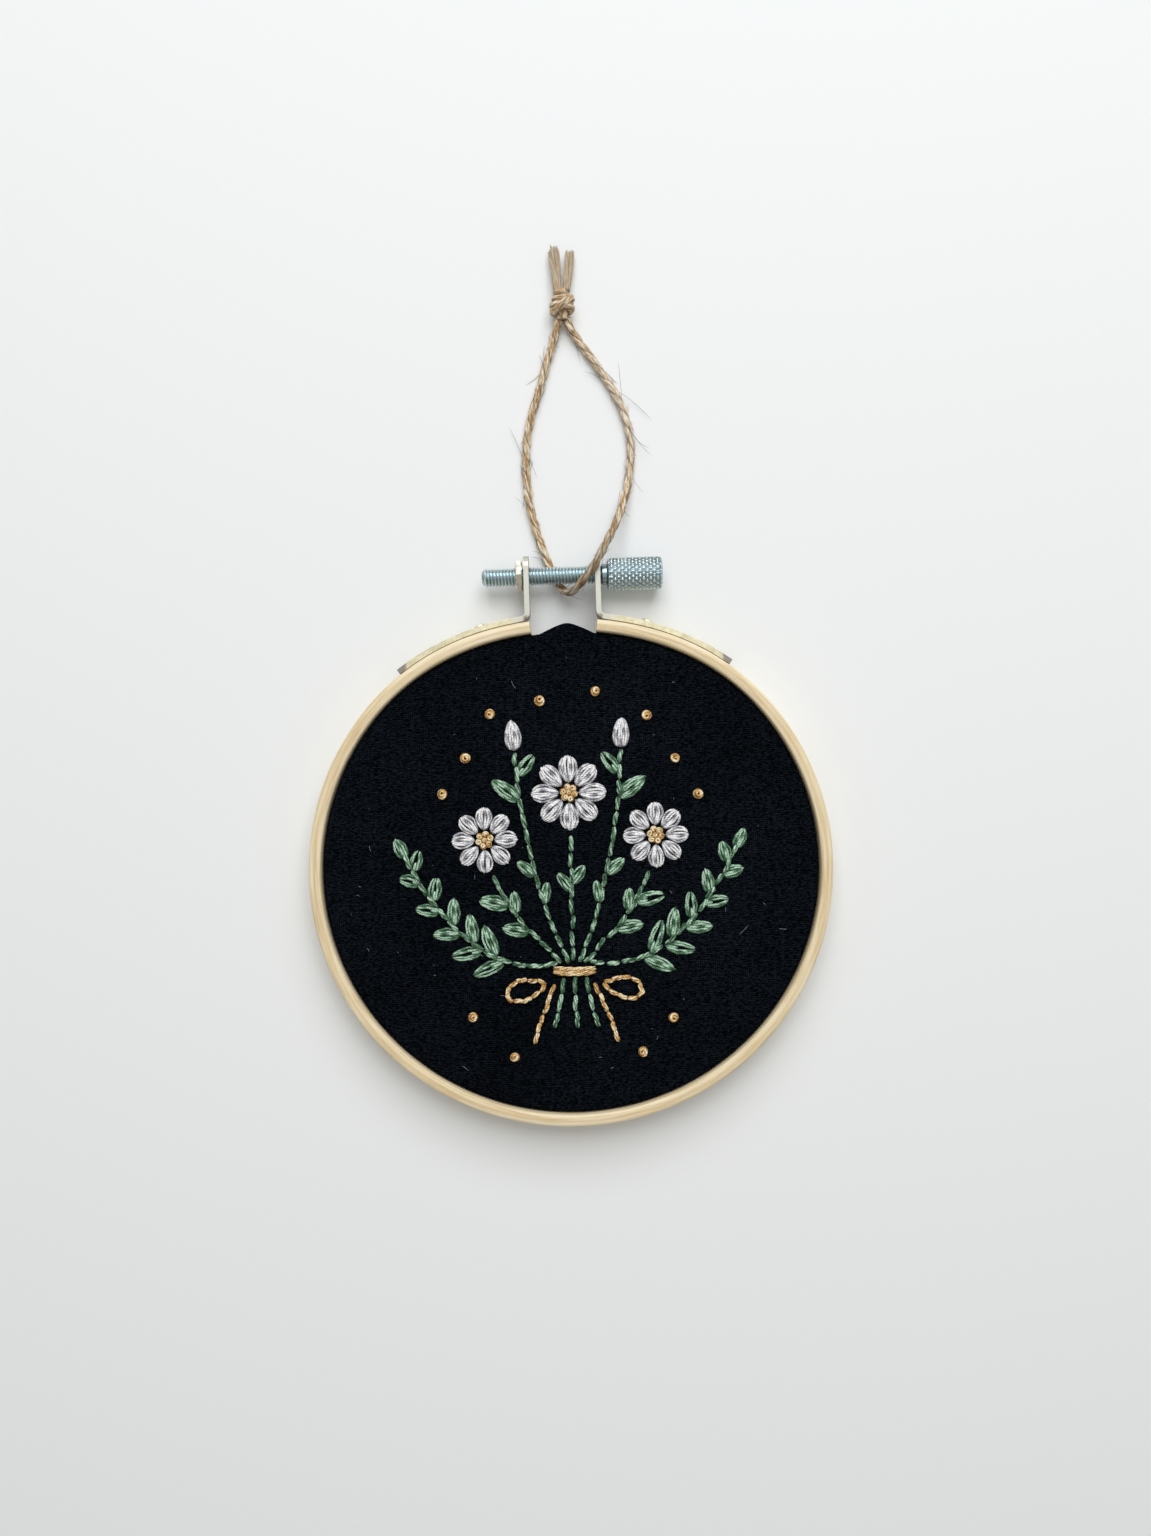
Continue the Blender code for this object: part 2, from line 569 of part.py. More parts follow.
def make_daisy(name, centre, radius, thread):
    """Eight petals round an open eye, in one pad."""
    count = PETALS * 4
    a = np.linspace(0, 2 * np.pi, count, endpoint=False)
    reach = radius * (1.0 - DAISY_DIP * (1.0 - np.abs(np.cos(PETALS * a / 2)) ** 0.9))
    ridge = DAISY_EYE_R + (reach - DAISY_EYE_R) * 0.55
    rings = []
    for r, z in ((reach, 0.0), (reach, 0.4), (ridge, 1.0), (DAISY_EYE_R + 0 * a, 0.6), (DAISY_EYE_R + 0 * a, 0.0)):
        rings.append([(centre[0] + u, centre[1] + v + HOOP_Y, PAD_Z + z * PAD_HIGH)
                      for u, v in zip(r * np.cos(a), r * np.sin(a))])
    return add_object(name, loft(rings, closed_path=True), thread, smooth_deg=60.0)


def make_flowers(silver, gold):
    """The daisies, their knotted eyes and the closed buds on top of the bud stems."""
    for name, (centre, radius) in DAISIES.items():
        make_daisy(name, centre, radius, silver)
        eye = dome_pad(centre, DAISY_EYE_R - GAP, PAD_HIGH, sides=12)
        add_object(name.replace("daisy", "eye"), eye, gold, smooth_deg=60.0)
    _, control, end = STEMS["bud_stem"]
    tip, along = bezier((-TIE_STEP, TIE_Y), control, end, 1.0)
    for side, word in ((1, "left"), (-1, "right")):
        heading = math.degrees(math.atan2(along[1], along[0] * side))
        base = mirrored(tip + along * 2 * GAP, side)
        add_object(f"bud_{word}", blade_pad(base, heading, BUD_LONG, BUD_WIDE, PAD_HIGH, 0.75), silver)


def make_gold(thread):
    """The band round the stems, the two halves of the bow and the scattered berries."""
    half, high = BAND
    ends = [(-half, BAND_Y), (-half / 3, BAND_Y - GAP), (half / 3, BAND_Y - GAP), (half, BAND_Y)]
    add_object("tie_band", strip_pad(ends, high, PAD_HIGH), thread)
    (cx, cy), a, b, tilt = BOW_LOOP
    for side, word in ((1, "left"), (-1, "right")):
        loop = []
        for t in np.linspace(0, 2 * math.pi, 16, endpoint=False):
            u, v = a * math.cos(t), b * math.sin(t) * (1.0 - 0.35 * math.cos(t))
            c, s = math.cos(math.radians(tilt)), math.sin(math.radians(tilt))
            loop.append((side * (cx + u * c - v * s), cy + u * s + v * c))
        add_object(f"bow_{word}", strip_pad(loop, BOW_WIDE, STEM_HIGH, closed_path=True), thread)
        tail = [bezier(*(mirrored(p, side) for p in BOW_TAIL), t)[0] for t in np.linspace(0, 1, 6)]
        add_object(f"bow_tail_{word}", strip_pad(tail, BOW_WIDE, STEM_HIGH), thread)
    for k, centre in enumerate(BERRIES, start=1):
        add_object(f"berry_{k:02d}", dome_pad(centre, BERRY_R, PAD_HIGH), thread, smooth_deg=60.0)


def main():
    for old in list(bpy.data.objects):
        bpy.data.objects.remove(old, do_unlink=True)
    wood = material("pale beech", (0.69, 0.54, 0.35), 0.55)
    fabric = material("black cotton", (0.004, 0.005, 0.008), 0.95)
    plated = material("nickel plated steel", (0.62, 0.60, 0.54), 0.35, 1.0)
    zinc = material("blue zinc plated steel", (0.42, 0.55, 0.60), 0.38, 1.0)
    jute = material("jute", (0.42, 0.30, 0.18), 0.95)
    green = material("green stranded cotton", (0.11, 0.24, 0.15), 0.7)
    silver = material("grey stranded cotton", (0.56, 0.56, 0.62), 0.6)
    gold = material("gold stranded cotton", (0.65, 0.38, 0.07), 0.6)
    make_outer_ring(wood)
    make_inner_ring(wood)
    make_cloth(fabric)
    for side in (-1, 1):
        make_bracket(side, plated)
        make_rivet(side, plated)
    make_nut(plated)
    make_screw(zinc)
    make_twine_loop(jute)
    make_knot(jute)
    for name, (root, tip, thin, wide) in TWINE_TAILS.items():
        make_tail(name, root, tip, thin, wide, jute)
    make_greens(green)
    make_flowers(silver, gold)
    make_gold(gold)


main()
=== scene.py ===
"""The looks of a small embroidery hoop: stretched black cotton, stitched posy, clamp and twine loop.

Metres, +Z up. The hoop lies on its back, its clamp towards +Y. The CAD frame gives the bodies "hoop" and
"clamp_screw"; each piece made here rides on one of them and stands for the CAD nodes that it names.
"""
import math

import bpy
import numpy as np
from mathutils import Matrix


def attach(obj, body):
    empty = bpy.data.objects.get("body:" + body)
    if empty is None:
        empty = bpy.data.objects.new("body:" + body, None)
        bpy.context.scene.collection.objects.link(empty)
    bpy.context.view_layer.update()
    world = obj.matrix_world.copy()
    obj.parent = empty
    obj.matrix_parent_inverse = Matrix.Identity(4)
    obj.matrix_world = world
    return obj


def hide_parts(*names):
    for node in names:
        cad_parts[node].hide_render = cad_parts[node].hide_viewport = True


bl_info = {
    "name": "Embroidery Hoop Art",
    "version": (1, 0, 0),
    "blender": (4, 5, 0),
    "location": "View3D > Sidebar > Hoop Art",
    "description": "Builds the rings, cloth, clamp, twine and stitches of a small embroidered hoop",
    "category": "Object",
}

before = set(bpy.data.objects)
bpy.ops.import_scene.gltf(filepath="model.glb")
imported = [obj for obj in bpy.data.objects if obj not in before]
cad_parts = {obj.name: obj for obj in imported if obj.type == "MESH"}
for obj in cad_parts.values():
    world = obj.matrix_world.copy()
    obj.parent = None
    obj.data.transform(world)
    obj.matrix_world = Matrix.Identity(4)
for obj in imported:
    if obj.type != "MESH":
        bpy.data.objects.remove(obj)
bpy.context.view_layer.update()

MM = 0.001
HOOP_Y = -0.00625               # the hoop's centre in the row frame
SQUEEZE_Y = 0.0010              # how much smaller the ring is at its top and bottom
CLAMP_SQUEEZE = 0.0014          # and how much smaller again at the clamp
CLAMP_SQUEEZE_DEG = 50.0
GAP_HALF = 0.0070               # half of the outer ring's opening
NEXT_TO_EAR = GAP_HALF + 0.00143    # along X, where the nut and the collar start
RIVET_SEAT = 0.00413            # from the outer ring's inside out to a rivet's foot
SCREW_AXIS = (0.0, 0.05595, 0.0045)

# The twine's route by the hoop's centre: down the left leg, under the screw, round it and up the right leg
TWINE_ROUTE = (
    (0.0010, 0.1176, 0.0019), (-0.0002, 0.1136, 0.0011), (-0.0019, 0.1086, 0.00095),
    (-0.0038, 0.1026, 0.00095), (-0.0056, 0.0972, 0.00095), (-0.0067, 0.0920, 0.00095),
    (-0.0070, 0.0870, 0.00095), (-0.0069, 0.0820, 0.00095), (-0.0063, 0.0770, 0.00095),
    (-0.0051, 0.0722, 0.00095), (-0.0038, 0.0682, 0.00100), (-0.0027, 0.0651, 0.00112),
    (-0.0014, 0.0623, 0.00122), (-0.0004, 0.0602, 0.0020), (0.0008, 0.0588, 0.0037),
    (0.0021, 0.0587, 0.0054), (0.0036, 0.0597, 0.0072), (0.0050, 0.0612, 0.0082),
    (0.0066, 0.0632, 0.0087), (0.0082, 0.0658, 0.0087), (0.0098, 0.0688, 0.0080),
    (0.0111, 0.0714, 0.0066), (0.0125, 0.0746, 0.0046), (0.0138, 0.0784, 0.0026),
    (0.0149, 0.0824, 0.0013), (0.0155, 0.0866, 0.00095), (0.0157, 0.0906, 0.00095),
    (0.0150, 0.0956, 0.00095), (0.0134, 0.1002, 0.00095), (0.0114, 0.1040, 0.00095),
    (0.0091, 0.1076, 0.00095), (0.0065, 0.1114, 0.00095), (0.0043, 0.1146, 0.0011),
    (0.0026, 0.1176, 0.0019),
)
KNOT_CENTRE = (0.0018, 0.1206, 0.0025)
CORD_SIDES = 20                 # points round the cord
CORD_CLEAR = 0.00003            # the cord's lowest point above the floor
# The free ends: root, tip, and the radii there
TWINE_TAILS = {
    "left": ((0.0010, 0.1232, 0.0023), (0.0004, 0.1334, 0.0013), 0.00085, 0.00130),
    "right": ((0.0028, 0.1236, 0.0021), (0.0039, 0.1325, 0.0011), 0.00080, 0.00098),
}

# The posy, by the hoop's centre. Columns of STEMS: place in the tie, control point, end, for the left half
TIE_Y = -0.0196
TIE_STEP = 0.0011
STEMS = {
    "fern": (3, (-0.0215, -0.0235), (-0.0350, 0.0040)),
    "spray": (2, (-0.0122, -0.0112), (-0.0164, -0.0010)),
    "bud_stem": (1, (-0.0094, -0.0020), (-0.0112, 0.0250)),
}
# Columns: stem, place along it, side (1 left, -1 right), angle, length, width
LEAVES = (
    ("spray", 0.38, 1, 40, 0.0062, 0.0028),
    ("spray", 0.58, -1, 32, 0.0050, 0.0024),
    ("spray", 0.68, 1, 46, 0.0068, 0.0030),
    ("bud_stem", 0.32, -1, 24, 0.0050, 0.0020),
    ("bud_stem", 0.46, 1, 36, 0.0052, 0.0024),
    ("bud_stem", 0.80, 1, 46, 0.0076, 0.0032),
    ("bud_stem", 0.90, -1, 44, 0.0060, 0.0026),
)
FERN_PAIRS = 5
FERN_FROM, FERN_TO = 0.32, 0.88
FERN_LONG, FERN_SHORT, FERN_WIDE = 0.0076, 0.0048, 0.0026
FERN_DEG = 44.0
FERN_STAGGER = 0.05
MID_STEM_END = 0.0070
MID_LEAF = (0.62, 36, 0.0050, 0.0022)
DAISIES = {
    "mid": ((0.0, 0.0160), 0.0082),
    "left": ((-0.0180, 0.0066), 0.0072),
    "right": ((0.0180, 0.0066), 0.0072),
}
EYE_R = 0.0020
BUD_LONG, BUD_WIDE = 0.0068, 0.0034
BAND_HALF, BAND_HIGH, BAND_Y = 0.0046, 0.0020, -0.0211
BOW_LOOP = ((-0.0102, -0.0250), 0.0042, 0.0021, 14.0)
BOW_TAIL = ((-0.0043, -0.0244), (-0.0066, -0.0296), (-0.0088, -0.0362))
STEM_ENDS = {"left": (-0.0026, -0.0046), "mid": (0.0, 0.0003), "right": (0.0026, 0.0050)}
STEM_END_Y = (-0.0226, -0.0334)
BERRY_R = 0.00115
BERRIES = (
    (-0.0265, 0.0165), (-0.0215, 0.0240), (-0.0160, 0.0330), (-0.0055, 0.0355), (0.0062, 0.0372),
    (0.0168, 0.0318), (0.0225, 0.0226), (0.0272, 0.0150), (-0.0215, -0.0305), (0.0205, -0.0318),
    (-0.0130, -0.0392), (0.0140, -0.0388),
)

DAISY_PETALS = 8
EYE_KNOTS = 6                   # round the knot in the middle
PETAL_ROOT = 0.0019             # where a petal starts, from the daisy's middle

# The stage, as the photo was taken: from above, with soft light from its top
KEY_PLACE, KEY_SIZE = (0.09, 0.66, 0.76), 0.85
FILL_PLACE, FILL_SIZE = (0.02, -0.04, 0.42), 0.40
LIGHT_COLOUR = (0.97, 0.985, 1.0)
CAMERA_PLACE = (0.0016, 0.01491, 0.259)
CAMERA_TURN_DEG = -1.8
LENS_MM, SENSOR_MM = 28.0, 36.0
FLOOR_Z = -0.0001

# Colours of jute by place from dark to light: in the cord, in its fluffed ends and in its loose hairs
JUTE_STOPS = ((0.12, "7b5a38"), (0.36, "bd976a"), (0.60, "e8cea6"), (0.84, "fdf3e0"))
END_STOPS = ((0.14, "a8855a"), (0.38, "ecc99a"), (0.60, "ffeac6"), (0.84, "fffaf0"))
HAIR_STOPS = ((0.12, "6a6052"), (0.50, "8d8270"), (0.84, "b9ad98"))


# The fields that a node's choices set, in the order in which they are given
NODE_CHOICES = {
    "Math": ("operation",),
    "VectorMath": ("operation",),
    "MapRange": ("interpolation_type",),
    "Mix": ("data_type", "blend_type"),
}
TURN = 2 * math.pi
OBJECT_SPACE = 3                # the output of Texture Coordinate that is used
HANDLED = 0.08                  # how much a metal's roughness changes from place to place


def linear(code):
    """Linear RGBA of an sRGB hex colour such as d9a648."""
    rgb = np.array([int(code[k:k + 2], 16) for k in (0, 2, 4)]) / 255.0
    slow = rgb / 12.92
    fast = ((rgb + 0.055) / 1.055) ** 2.4
    return (*np.where(rgb <= 0.04045, slow, fast).tolist(), 1.0)


def node(tree, kind, *values, out=0, stops=(), **named):
    """Add one shader node and return one of its outputs, or all of them if out is None.

    kind is the node's name and its choices, such as "Math MULTIPLY". Values are numbers, colours or other
    nodes' outputs: they go into the sockets in use in their order, or by name. stops are places and hex
    colours."""
    word, *choices = kind.split()
    made = tree.nodes.new("ShaderNode" + word)
    for field, choice in zip(NODE_CHOICES.get(word, ()), choices):
        setattr(made, field, choice)
    if stops:
        steps = made.color_ramp.elements
        while len(steps) < len(stops):
            steps.new(0.5)
        for step, (place, code) in zip(steps, stops):
            step.position = place
            step.color = linear(code)
    in_use = [socket for socket in made.inputs if socket.enabled]
    pairs = list(zip(in_use, values)) + [(made.inputs[name], value) for name, value in named.items()]
    for socket, value in pairs:
        if isinstance(value, bpy.types.NodeSocket):
            tree.links.new(value, socket)
        else:
            socket.default_value = value
    outputs = [socket for socket in made.outputs if socket.enabled]
    return outputs if out is None else outputs[out]


def new_material(name, **fixed):
    """A material with its tree and its Principled shader, whose fixed sockets are set here."""
    made = bpy.data.materials.new(name)
    made.use_nodes = True
    shader = made.node_tree.nodes["Principled BSDF"]
    for socket, value in fixed.items():
        shader.inputs[socket.replace("_", " ")].default_value = value
    return made, made.node_tree, shader


def wood(name, light, dark, line):
    """Pale bentwood: grain runs round the ring as long streaks; the glue line between its two plies is a
    thin tan line in the middle of its front. Its own UV holds mm along the ring and mm from its inside."""
    made, tree, shader = new_material(name, Roughness=0.52)
    uv = node(tree, "UVMap")
    place = node(tree, "TexCoord", out=OBJECT_SPACE)
    across = node(tree, "SeparateXYZ", uv, out=None)
    up = node(tree, "SeparateXYZ", place, out=None)
    along = node(tree, "Math MULTIPLY", across[0], 0.045)
    high = node(tree, "Math MULTIPLY", up[2], 1.0 / MM)
    solid = node(tree, "CombineXYZ", along, across[1], high)
    streaks = node(tree, "TexNoise", solid, 1.9, 4.0, 0.62)
    broad = node(tree, "TexNoise", solid, 0.45, 2.0)
    grain = node(tree, "Math ADD", node(tree, "Math MULTIPLY", streaks, 0.65),
                 node(tree, "Math MULTIPLY", broad, 0.45))
    colour = node(tree, "ValToRGB", grain,
                  stops=((0.36, dark), (0.52, line), (0.62, light), (0.80, "f7ecd8")))
    wander = node(tree, "Math MULTIPLY", node(tree, "Math SUBTRACT", broad, 0.5), 0.5)
    off = node(tree, "Math SUBTRACT", node(tree, "Math ADD", across[1], wander), 1.2)
    off = node(tree, "Math ABSOLUTE", off)
    glue = node(tree, "MapRange SMOOTHSTEP", off, 0.10, 0.42, 0.32, 0.0)
    tree.links.new(node(tree, "Mix RGBA", glue, colour, linear(dark)), shader.inputs["Base Color"])
    pores = node(tree, "TexNoise", node(tree, "VectorMath MULTIPLY", solid, (4.0, 4.0, 4.0)), 2.6, 2.0)
    bump = node(tree, "Bump", Distance=0.00007,
                Height=node(tree, "Math ADD", pores, node(tree, "Math MULTIPLY", glue, -0.6)))
    tree.links.new(bump, shader.inputs["Normal"])
    return made


def cotton_cloth(name, dark, light, pitch):
    """Black plain-weave cotton: warp and weft pass over each other at the thread pitch; a few long slubs and
    paler threads keep it from looking printed. The weave is also painted into the colour: each thread is
    lighter on its crown and dark in the gaps between threads, as painted highlight and painted shade."""
    made, tree, shader = new_material(name, Roughness=0.95, Specular_IOR_Level=0.0)
    place = node(tree, "TexCoord", out=OBJECT_SPACE)
    bend = node(tree, "TexNoise", place, 160.0, 1.0, out=1)
    bend = node(tree, "VectorMath SCALE", bend, 0.00035)
    near = node(tree, "VectorMath ADD", place, bend)
    threads = node(tree, "VectorMath MULTIPLY", near, (1.0 / pitch, 1.0 / pitch, 1.0 / pitch))
    axes = node(tree, "SeparateXYZ", threads, out=None)
    rounds = []
    for axis in (0, 1):
        wave = node(tree, "Math SINE", node(tree, "Math MULTIPLY", axes[axis], math.pi))
        rounds.append(node(tree, "Math ABSOLUTE", wave))
    over = node(tree, "TexChecker", threads, (1, 1, 1, 1), (0, 0, 0, 1), 1.0, out=1)
    weave = node(tree, "Mix FLOAT", over, rounds[0], rounds[1])
    slub = node(tree, "TexNoise", node(tree, "VectorMath MULTIPLY", place, (240.0, 2900.0, 70.0)), 1.0, 2.0)
    warp = node(tree, "TexNoise", node(tree, "VectorMath MULTIPLY", place, (2900.0, 60.0, 70.0)), 1.0, 1.0)
    patch = node(tree, "TexNoise", place, 45.0, 2.0)
    slubs = node(tree, "MapRange SMOOTHSTEP", slub, 0.62, 0.80)
    grain = node(tree, "VectorMath MULTIPLY", place, (1300.0, 4600.0, 1300.0))
    grain = node(tree, "TexNoise", grain, 1.0, 2.0)
    grain = node(tree, "MapRange SMOOTHSTEP", grain, 0.32, 0.82)
    # Painted highlight and painted shade: the weave makes each thread's crown lighter and the gaps between
    # threads dark.
    tone = node(tree, "Math MULTIPLY", weave,
                node(tree, "Math ADD", node(tree, "Math MULTIPLY", grain, 0.84), 0.02))
    tone = node(tree, "Math ADD", tone, node(tree, "Math MULTIPLY", slubs, 0.25))
    warps = node(tree, "MapRange SMOOTHSTEP", warp, 0.62, 0.78)
    tone = node(tree, "Math ADD", tone, node(tree, "Math MULTIPLY", warps, 0.10))
    tone = node(tree, "Math MULTIPLY", tone, node(tree, "Math ADD", patch, 0.45))
    tree.links.new(node(tree, "Mix RGBA", tone, linear(dark), linear(light)), shader.inputs["Base Color"])
    bump = node(tree, "Bump", Distance=0.00006, Height=node(tree, "Math ADD", weave, slubs))
    tree.links.new(bump, shader.inputs["Normal"])
    return made


def floss(name, dark, mid, light):
    """Stranded cotton floss: its fibres slant round each strand; painted highlights lighten it in flecks and in
    long patches along its length; and painted shade darkens the lower sides of each strand, where it meets the
    next. Its own UV holds mm along the thread and turns round it, a quarter turn being on top."""
    made, tree, shader = new_material(name, Roughness=0.42, Sheen_Weight=0.06, Sheen_Roughness=0.4)
    uv = node(tree, "UVMap")
    axes = node(tree, "SeparateXYZ", uv, out=None)
    wobble = node(tree, "TexNoise", node(tree, "VectorMath MULTIPLY", uv, (0.9, 0.0, 0.0)), 1.0, 2.0)
    turns = node(tree, "Math ADD", node(tree, "Math MULTIPLY", axes[0], 0.85),
                  node(tree, "Math ADD", axes[1], wobble))
    fibres = node(tree, "Math SINE", node(tree, "Math MULTIPLY", turns, 4 * math.pi))
    fibres = node(tree, "Math ADD", node(tree, "Math MULTIPLY", fibres, 0.5), 0.5)
    # Painted highlights: flecks and long patches along the thread lift its tone towards the light colour.
    highlight_flecks = node(tree, "VectorMath MULTIPLY", uv, (0.60, 2.5, 0.0))
    highlight_flecks = node(tree, "TexNoise", highlight_flecks, 1.0, 2.0, 0.6)
    highlight_flecks = node(tree, "MapRange SMOOTHSTEP", highlight_flecks, 0.36, 0.66)
    highlight_patches = node(tree, "VectorMath MULTIPLY", uv, (0.30, 1.0, 0.0))
    highlight_patches = node(tree, "TexNoise", highlight_patches, 1.0, 1.0)
    highlight_patches = node(tree, "MapRange SMOOTHSTEP", highlight_patches, 0.34, 0.64)
    tone = node(tree, "Math ADD", node(tree, "Math MULTIPLY", fibres, 0.14),
                node(tree, "Math MULTIPLY", highlight_flecks, 0.54))
    tone = node(tree, "Math ADD", tone, node(tree, "Math MULTIPLY", highlight_patches, 0.36))
    colour = node(tree, "ValToRGB", tone, stops=((0.10, dark), (0.46, mid), (0.84, light)))
    # Painted shade: the lower sides of each strand, where it meets the next, are darkened towards a deeper tone
    # of the dark colour.
    upright = node(tree, "Math SINE", node(tree, "Math MULTIPLY", axes[1], TURN))
    shade = node(tree, "MapRange SMOOTHSTEP", upright, -0.20, 0.72, 0.80, 0.0)
    colour = node(tree, "Mix RGBA", shade, colour,
                  node(tree, "Mix RGBA MULTIPLY", 1.0, linear(dark), linear("8c8c8c")))
    tree.links.new(colour, shader.inputs["Base Color"])
    bump = node(tree, "Bump", Distance=0.00008, Height=node(tree, "Math ADD", fibres, highlight_flecks))
    tree.links.new(bump, shader.inputs["Normal"])
    return made


def jute_cord(name, lay, grooved=True, stops=JUTE_STOPS):
    """Natural jute: coarse straw, tan and brown fibres run nearly along the cord, painted shade darkens the
    groove between its plies, it is browner where it goes round the screw, and it has no shine. Its own UV holds
    mm along the cord and turns round it; lay is how far the fibres turn, in turns for each mm."""
    made, tree, shader = new_material(name, Roughness=0.9, Sheen_Weight=0.1)
    uv = node(tree, "UVMap")
    axes = node(tree, "SeparateXYZ", uv, out=None)
    turned = node(tree, "Math ADD", axes[1], node(tree, "Math MULTIPLY", axes[0], lay))
    line = node(tree, "CombineXYZ", node(tree, "Math MULTIPLY", axes[0], 0.30),
                node(tree, "Math MULTIPLY", turned, 9.0))
    fibres = node(tree, "MapRange SMOOTHSTEP", node(tree, "TexNoise", line, 1.0, 4.0, 0.7), 0.34, 0.68)
    patch = node(tree, "TexNoise", node(tree, "VectorMath MULTIPLY", uv, (0.16, 2.0, 0.0)), 1.0, 2.0)
    tone = node(tree, "Math ADD", node(tree, "Math MULTIPLY", fibres, 0.75),
                node(tree, "Math MULTIPLY", patch, 0.40))
    colour = node(tree, "ValToRGB", tone, stops=stops)
    if grooved:
        along = axes[0]
        pale = node(tree, "Math MULTIPLY", node(tree, "MapRange SMOOTHSTEP", along, 90.0, 100.0),
                    node(tree, "MapRange SMOOTHSTEP", along, 122.0, 130.0, 0.30, 0.0))
        colour = node(tree, "Mix RGBA", pale, colour, linear("f4eadb"))
        # Darker brown from 60 to 92 mm along the cord, where it goes round the screw.
        browner_round_screw = node(tree, "Math MULTIPLY", node(tree, "MapRange SMOOTHSTEP", along, 60.0, 65.0),
                      node(tree, "MapRange SMOOTHSTEP", along, 72.0, 92.0, 0.44, 0.0))
        colour = node(tree, "Mix RGBA", browner_round_screw, colour, linear("1a120a"))
        # Painted shade: the groove between the plies, at the waist of the cord's section, is darkened.
        lobe = node(tree, "Math ABSOLUTE",
                    node(tree, "Math COSINE", node(tree, "Math MULTIPLY", axes[1], TURN)))
        groove = node(tree, "Math MULTIPLY", node(tree, "MapRange SMOOTHSTEP", lobe, 0.02, 0.45, 0.7, 0.0),
                      node(tree, "MapRange SMOOTHSTEP", patch, 0.3, 0.6, 0.5, 1.0))
        colour = node(tree, "Mix RGBA", groove, colour, linear("70543a"))
    tree.links.new(colour, shader.inputs["Base Color"])
    bump = node(tree, "Bump", Distance=0.00022, Height=fibres)
    tree.links.new(bump, shader.inputs["Normal"])
    return made


def metal(name, code, roughness, metallic=1.0):
    """Plated steel: even colour, with faint handled changes in its shine."""
    made, tree, shader = new_material(name, Metallic=metallic)
    shader.inputs["Base Color"].default_value = linear(code)
    place = node(tree, "TexCoord", out=OBJECT_SPACE)
    cloud = node(tree, "TexNoise", place, 500.0, 3.0)
    tree.links.new(node(tree, "MapRange SMOOTHSTEP", cloud, 0.3, 0.7, roughness - HANDLED, roughness + HANDLED),
                   shader.inputs["Roughness"])
    return made


def ear_metal(name, code, strip_code, tip_code):
    """The bracket's plating: pale on the standing ear, yellower on the strip along the ring, and darker grey at
    the strip's far end. The change follows the distance from the hoop's middle line. A dark brown mark at each
    ear's foot, beside the wood's end, is partly a stain and partly painted gap shadow."""
    made = metal(name, code, 0.42, metallic=0.70)
    tree = made.node_tree
    shader = tree.nodes["Principled BSDF"]
    place = node(tree, "TexCoord", out=OBJECT_SPACE)
    axes = node(tree, "SeparateXYZ", place, out=None)
    out = node(tree, "Math ABSOLUTE", axes[0])
    mottle = node(tree, "TexNoise", place, 900.0, 3.0)
    strip = node(tree, "MapRange SMOOTHSTEP", out, 0.0086, 0.0125)
    mottles = node(tree, "MapRange SMOOTHSTEP", mottle, 0.25, 0.80)
    yellower = node(tree, "Mix RGBA", mottles, linear(strip_code), linear("c2ba98"))
    colour = node(tree, "Mix RGBA", strip, linear(code), yellower)
    # The strip's far end is darker grey.
    tip = node(tree, "MapRange SMOOTHSTEP", out, 0.0330, 0.0338)
    colour = node(tree, "Mix RGBA", tip, colour, linear(tip_code))
    # Partly a stain and partly painted gap shadow: a dark brown mark at each ear's foot, where the strip bends
    # beside the wood's end.
    across = node(tree, "Math SUBTRACT", out, 0.0076)
    along = node(tree, "Math SUBTRACT", axes[1], 0.0466)
    away = node(tree, "Math SQRT", node(tree, "Math ADD", node(tree, "Math MULTIPLY", across, across),
                                     node(tree, "Math MULTIPLY", along, along)))
    stain_and_gap_shadow = node(tree, "Math MULTIPLY", node(tree, "MapRange SMOOTHSTEP", away, 0.0003, 0.0013, 0.85, 0.0),
                 node(tree, "MapRange SMOOTHSTEP", mottle, 0.3, 0.6))
    tree.links.new(node(tree, "Mix RGBA", stain_and_gap_shadow, colour, linear("5e4c34")), shader.inputs["Base Color"])
    return made


def grooved_metal(name, settings):
    """The screw's blue zinc plating, with painted shade that darkens it to a dull grey-blue down in the
    thread's valleys and the knurl's pits, and on the collar. Depth is read from the distance to the screw's
    axis."""
    made = metal(name, settings.zinc, 0.30)
    tree = made.node_tree
    axes = node(tree, "SeparateXYZ", node(tree, "TexCoord", out=OBJECT_SPACE), out=None)
    y = node(tree, "Math SUBTRACT", axes[1], SCREW_AXIS[1])
    z = node(tree, "Math SUBTRACT", axes[2], SCREW_AXIS[2])
    reach = node(tree, "Math SQRT", node(tree, "Math ADD", node(tree, "Math MULTIPLY", y, y),
                                         node(tree, "Math MULTIPLY", z, z)))
    # Painted shade: the thread's valleys, the knurl's pits and the collar are darkened towards a dull
    # grey-blue.
    valley_shade = node(tree, "MapRange SMOOTHSTEP", reach, settings.screw_radius - 0.00036,
                  settings.screw_radius - 0.00006, 0.60, 0.0)
    pit_shade = node(tree, "MapRange SMOOTHSTEP", reach, settings.head_radius - 0.00036,
               settings.head_radius - 0.00008, 0.68, 0.0)
    head = node(tree, "Math GREATER_THAN", axes[0], settings.head_x)
    rod = node(tree, "Math LESS_THAN", axes[0], settings.head_x - 0.0014)
    collar = node(tree, "Math SUBTRACT", node(tree, "Math SUBTRACT", 1.0, rod), head)
    deep = node(tree, "Math ADD", node(tree, "Math MULTIPLY", pit_shade, head),
                node(tree, "Math MULTIPLY", valley_shade, rod))
    deep = node(tree, "Math ADD", deep, node(tree, "Math MULTIPLY", collar, 0.85))
    colour = node(tree, "Mix RGBA", deep, linear(settings.zinc), linear("8599a0"))
    tree.links.new(colour, tree.nodes["Principled BSDF"].inputs["Base Color"])
    return made


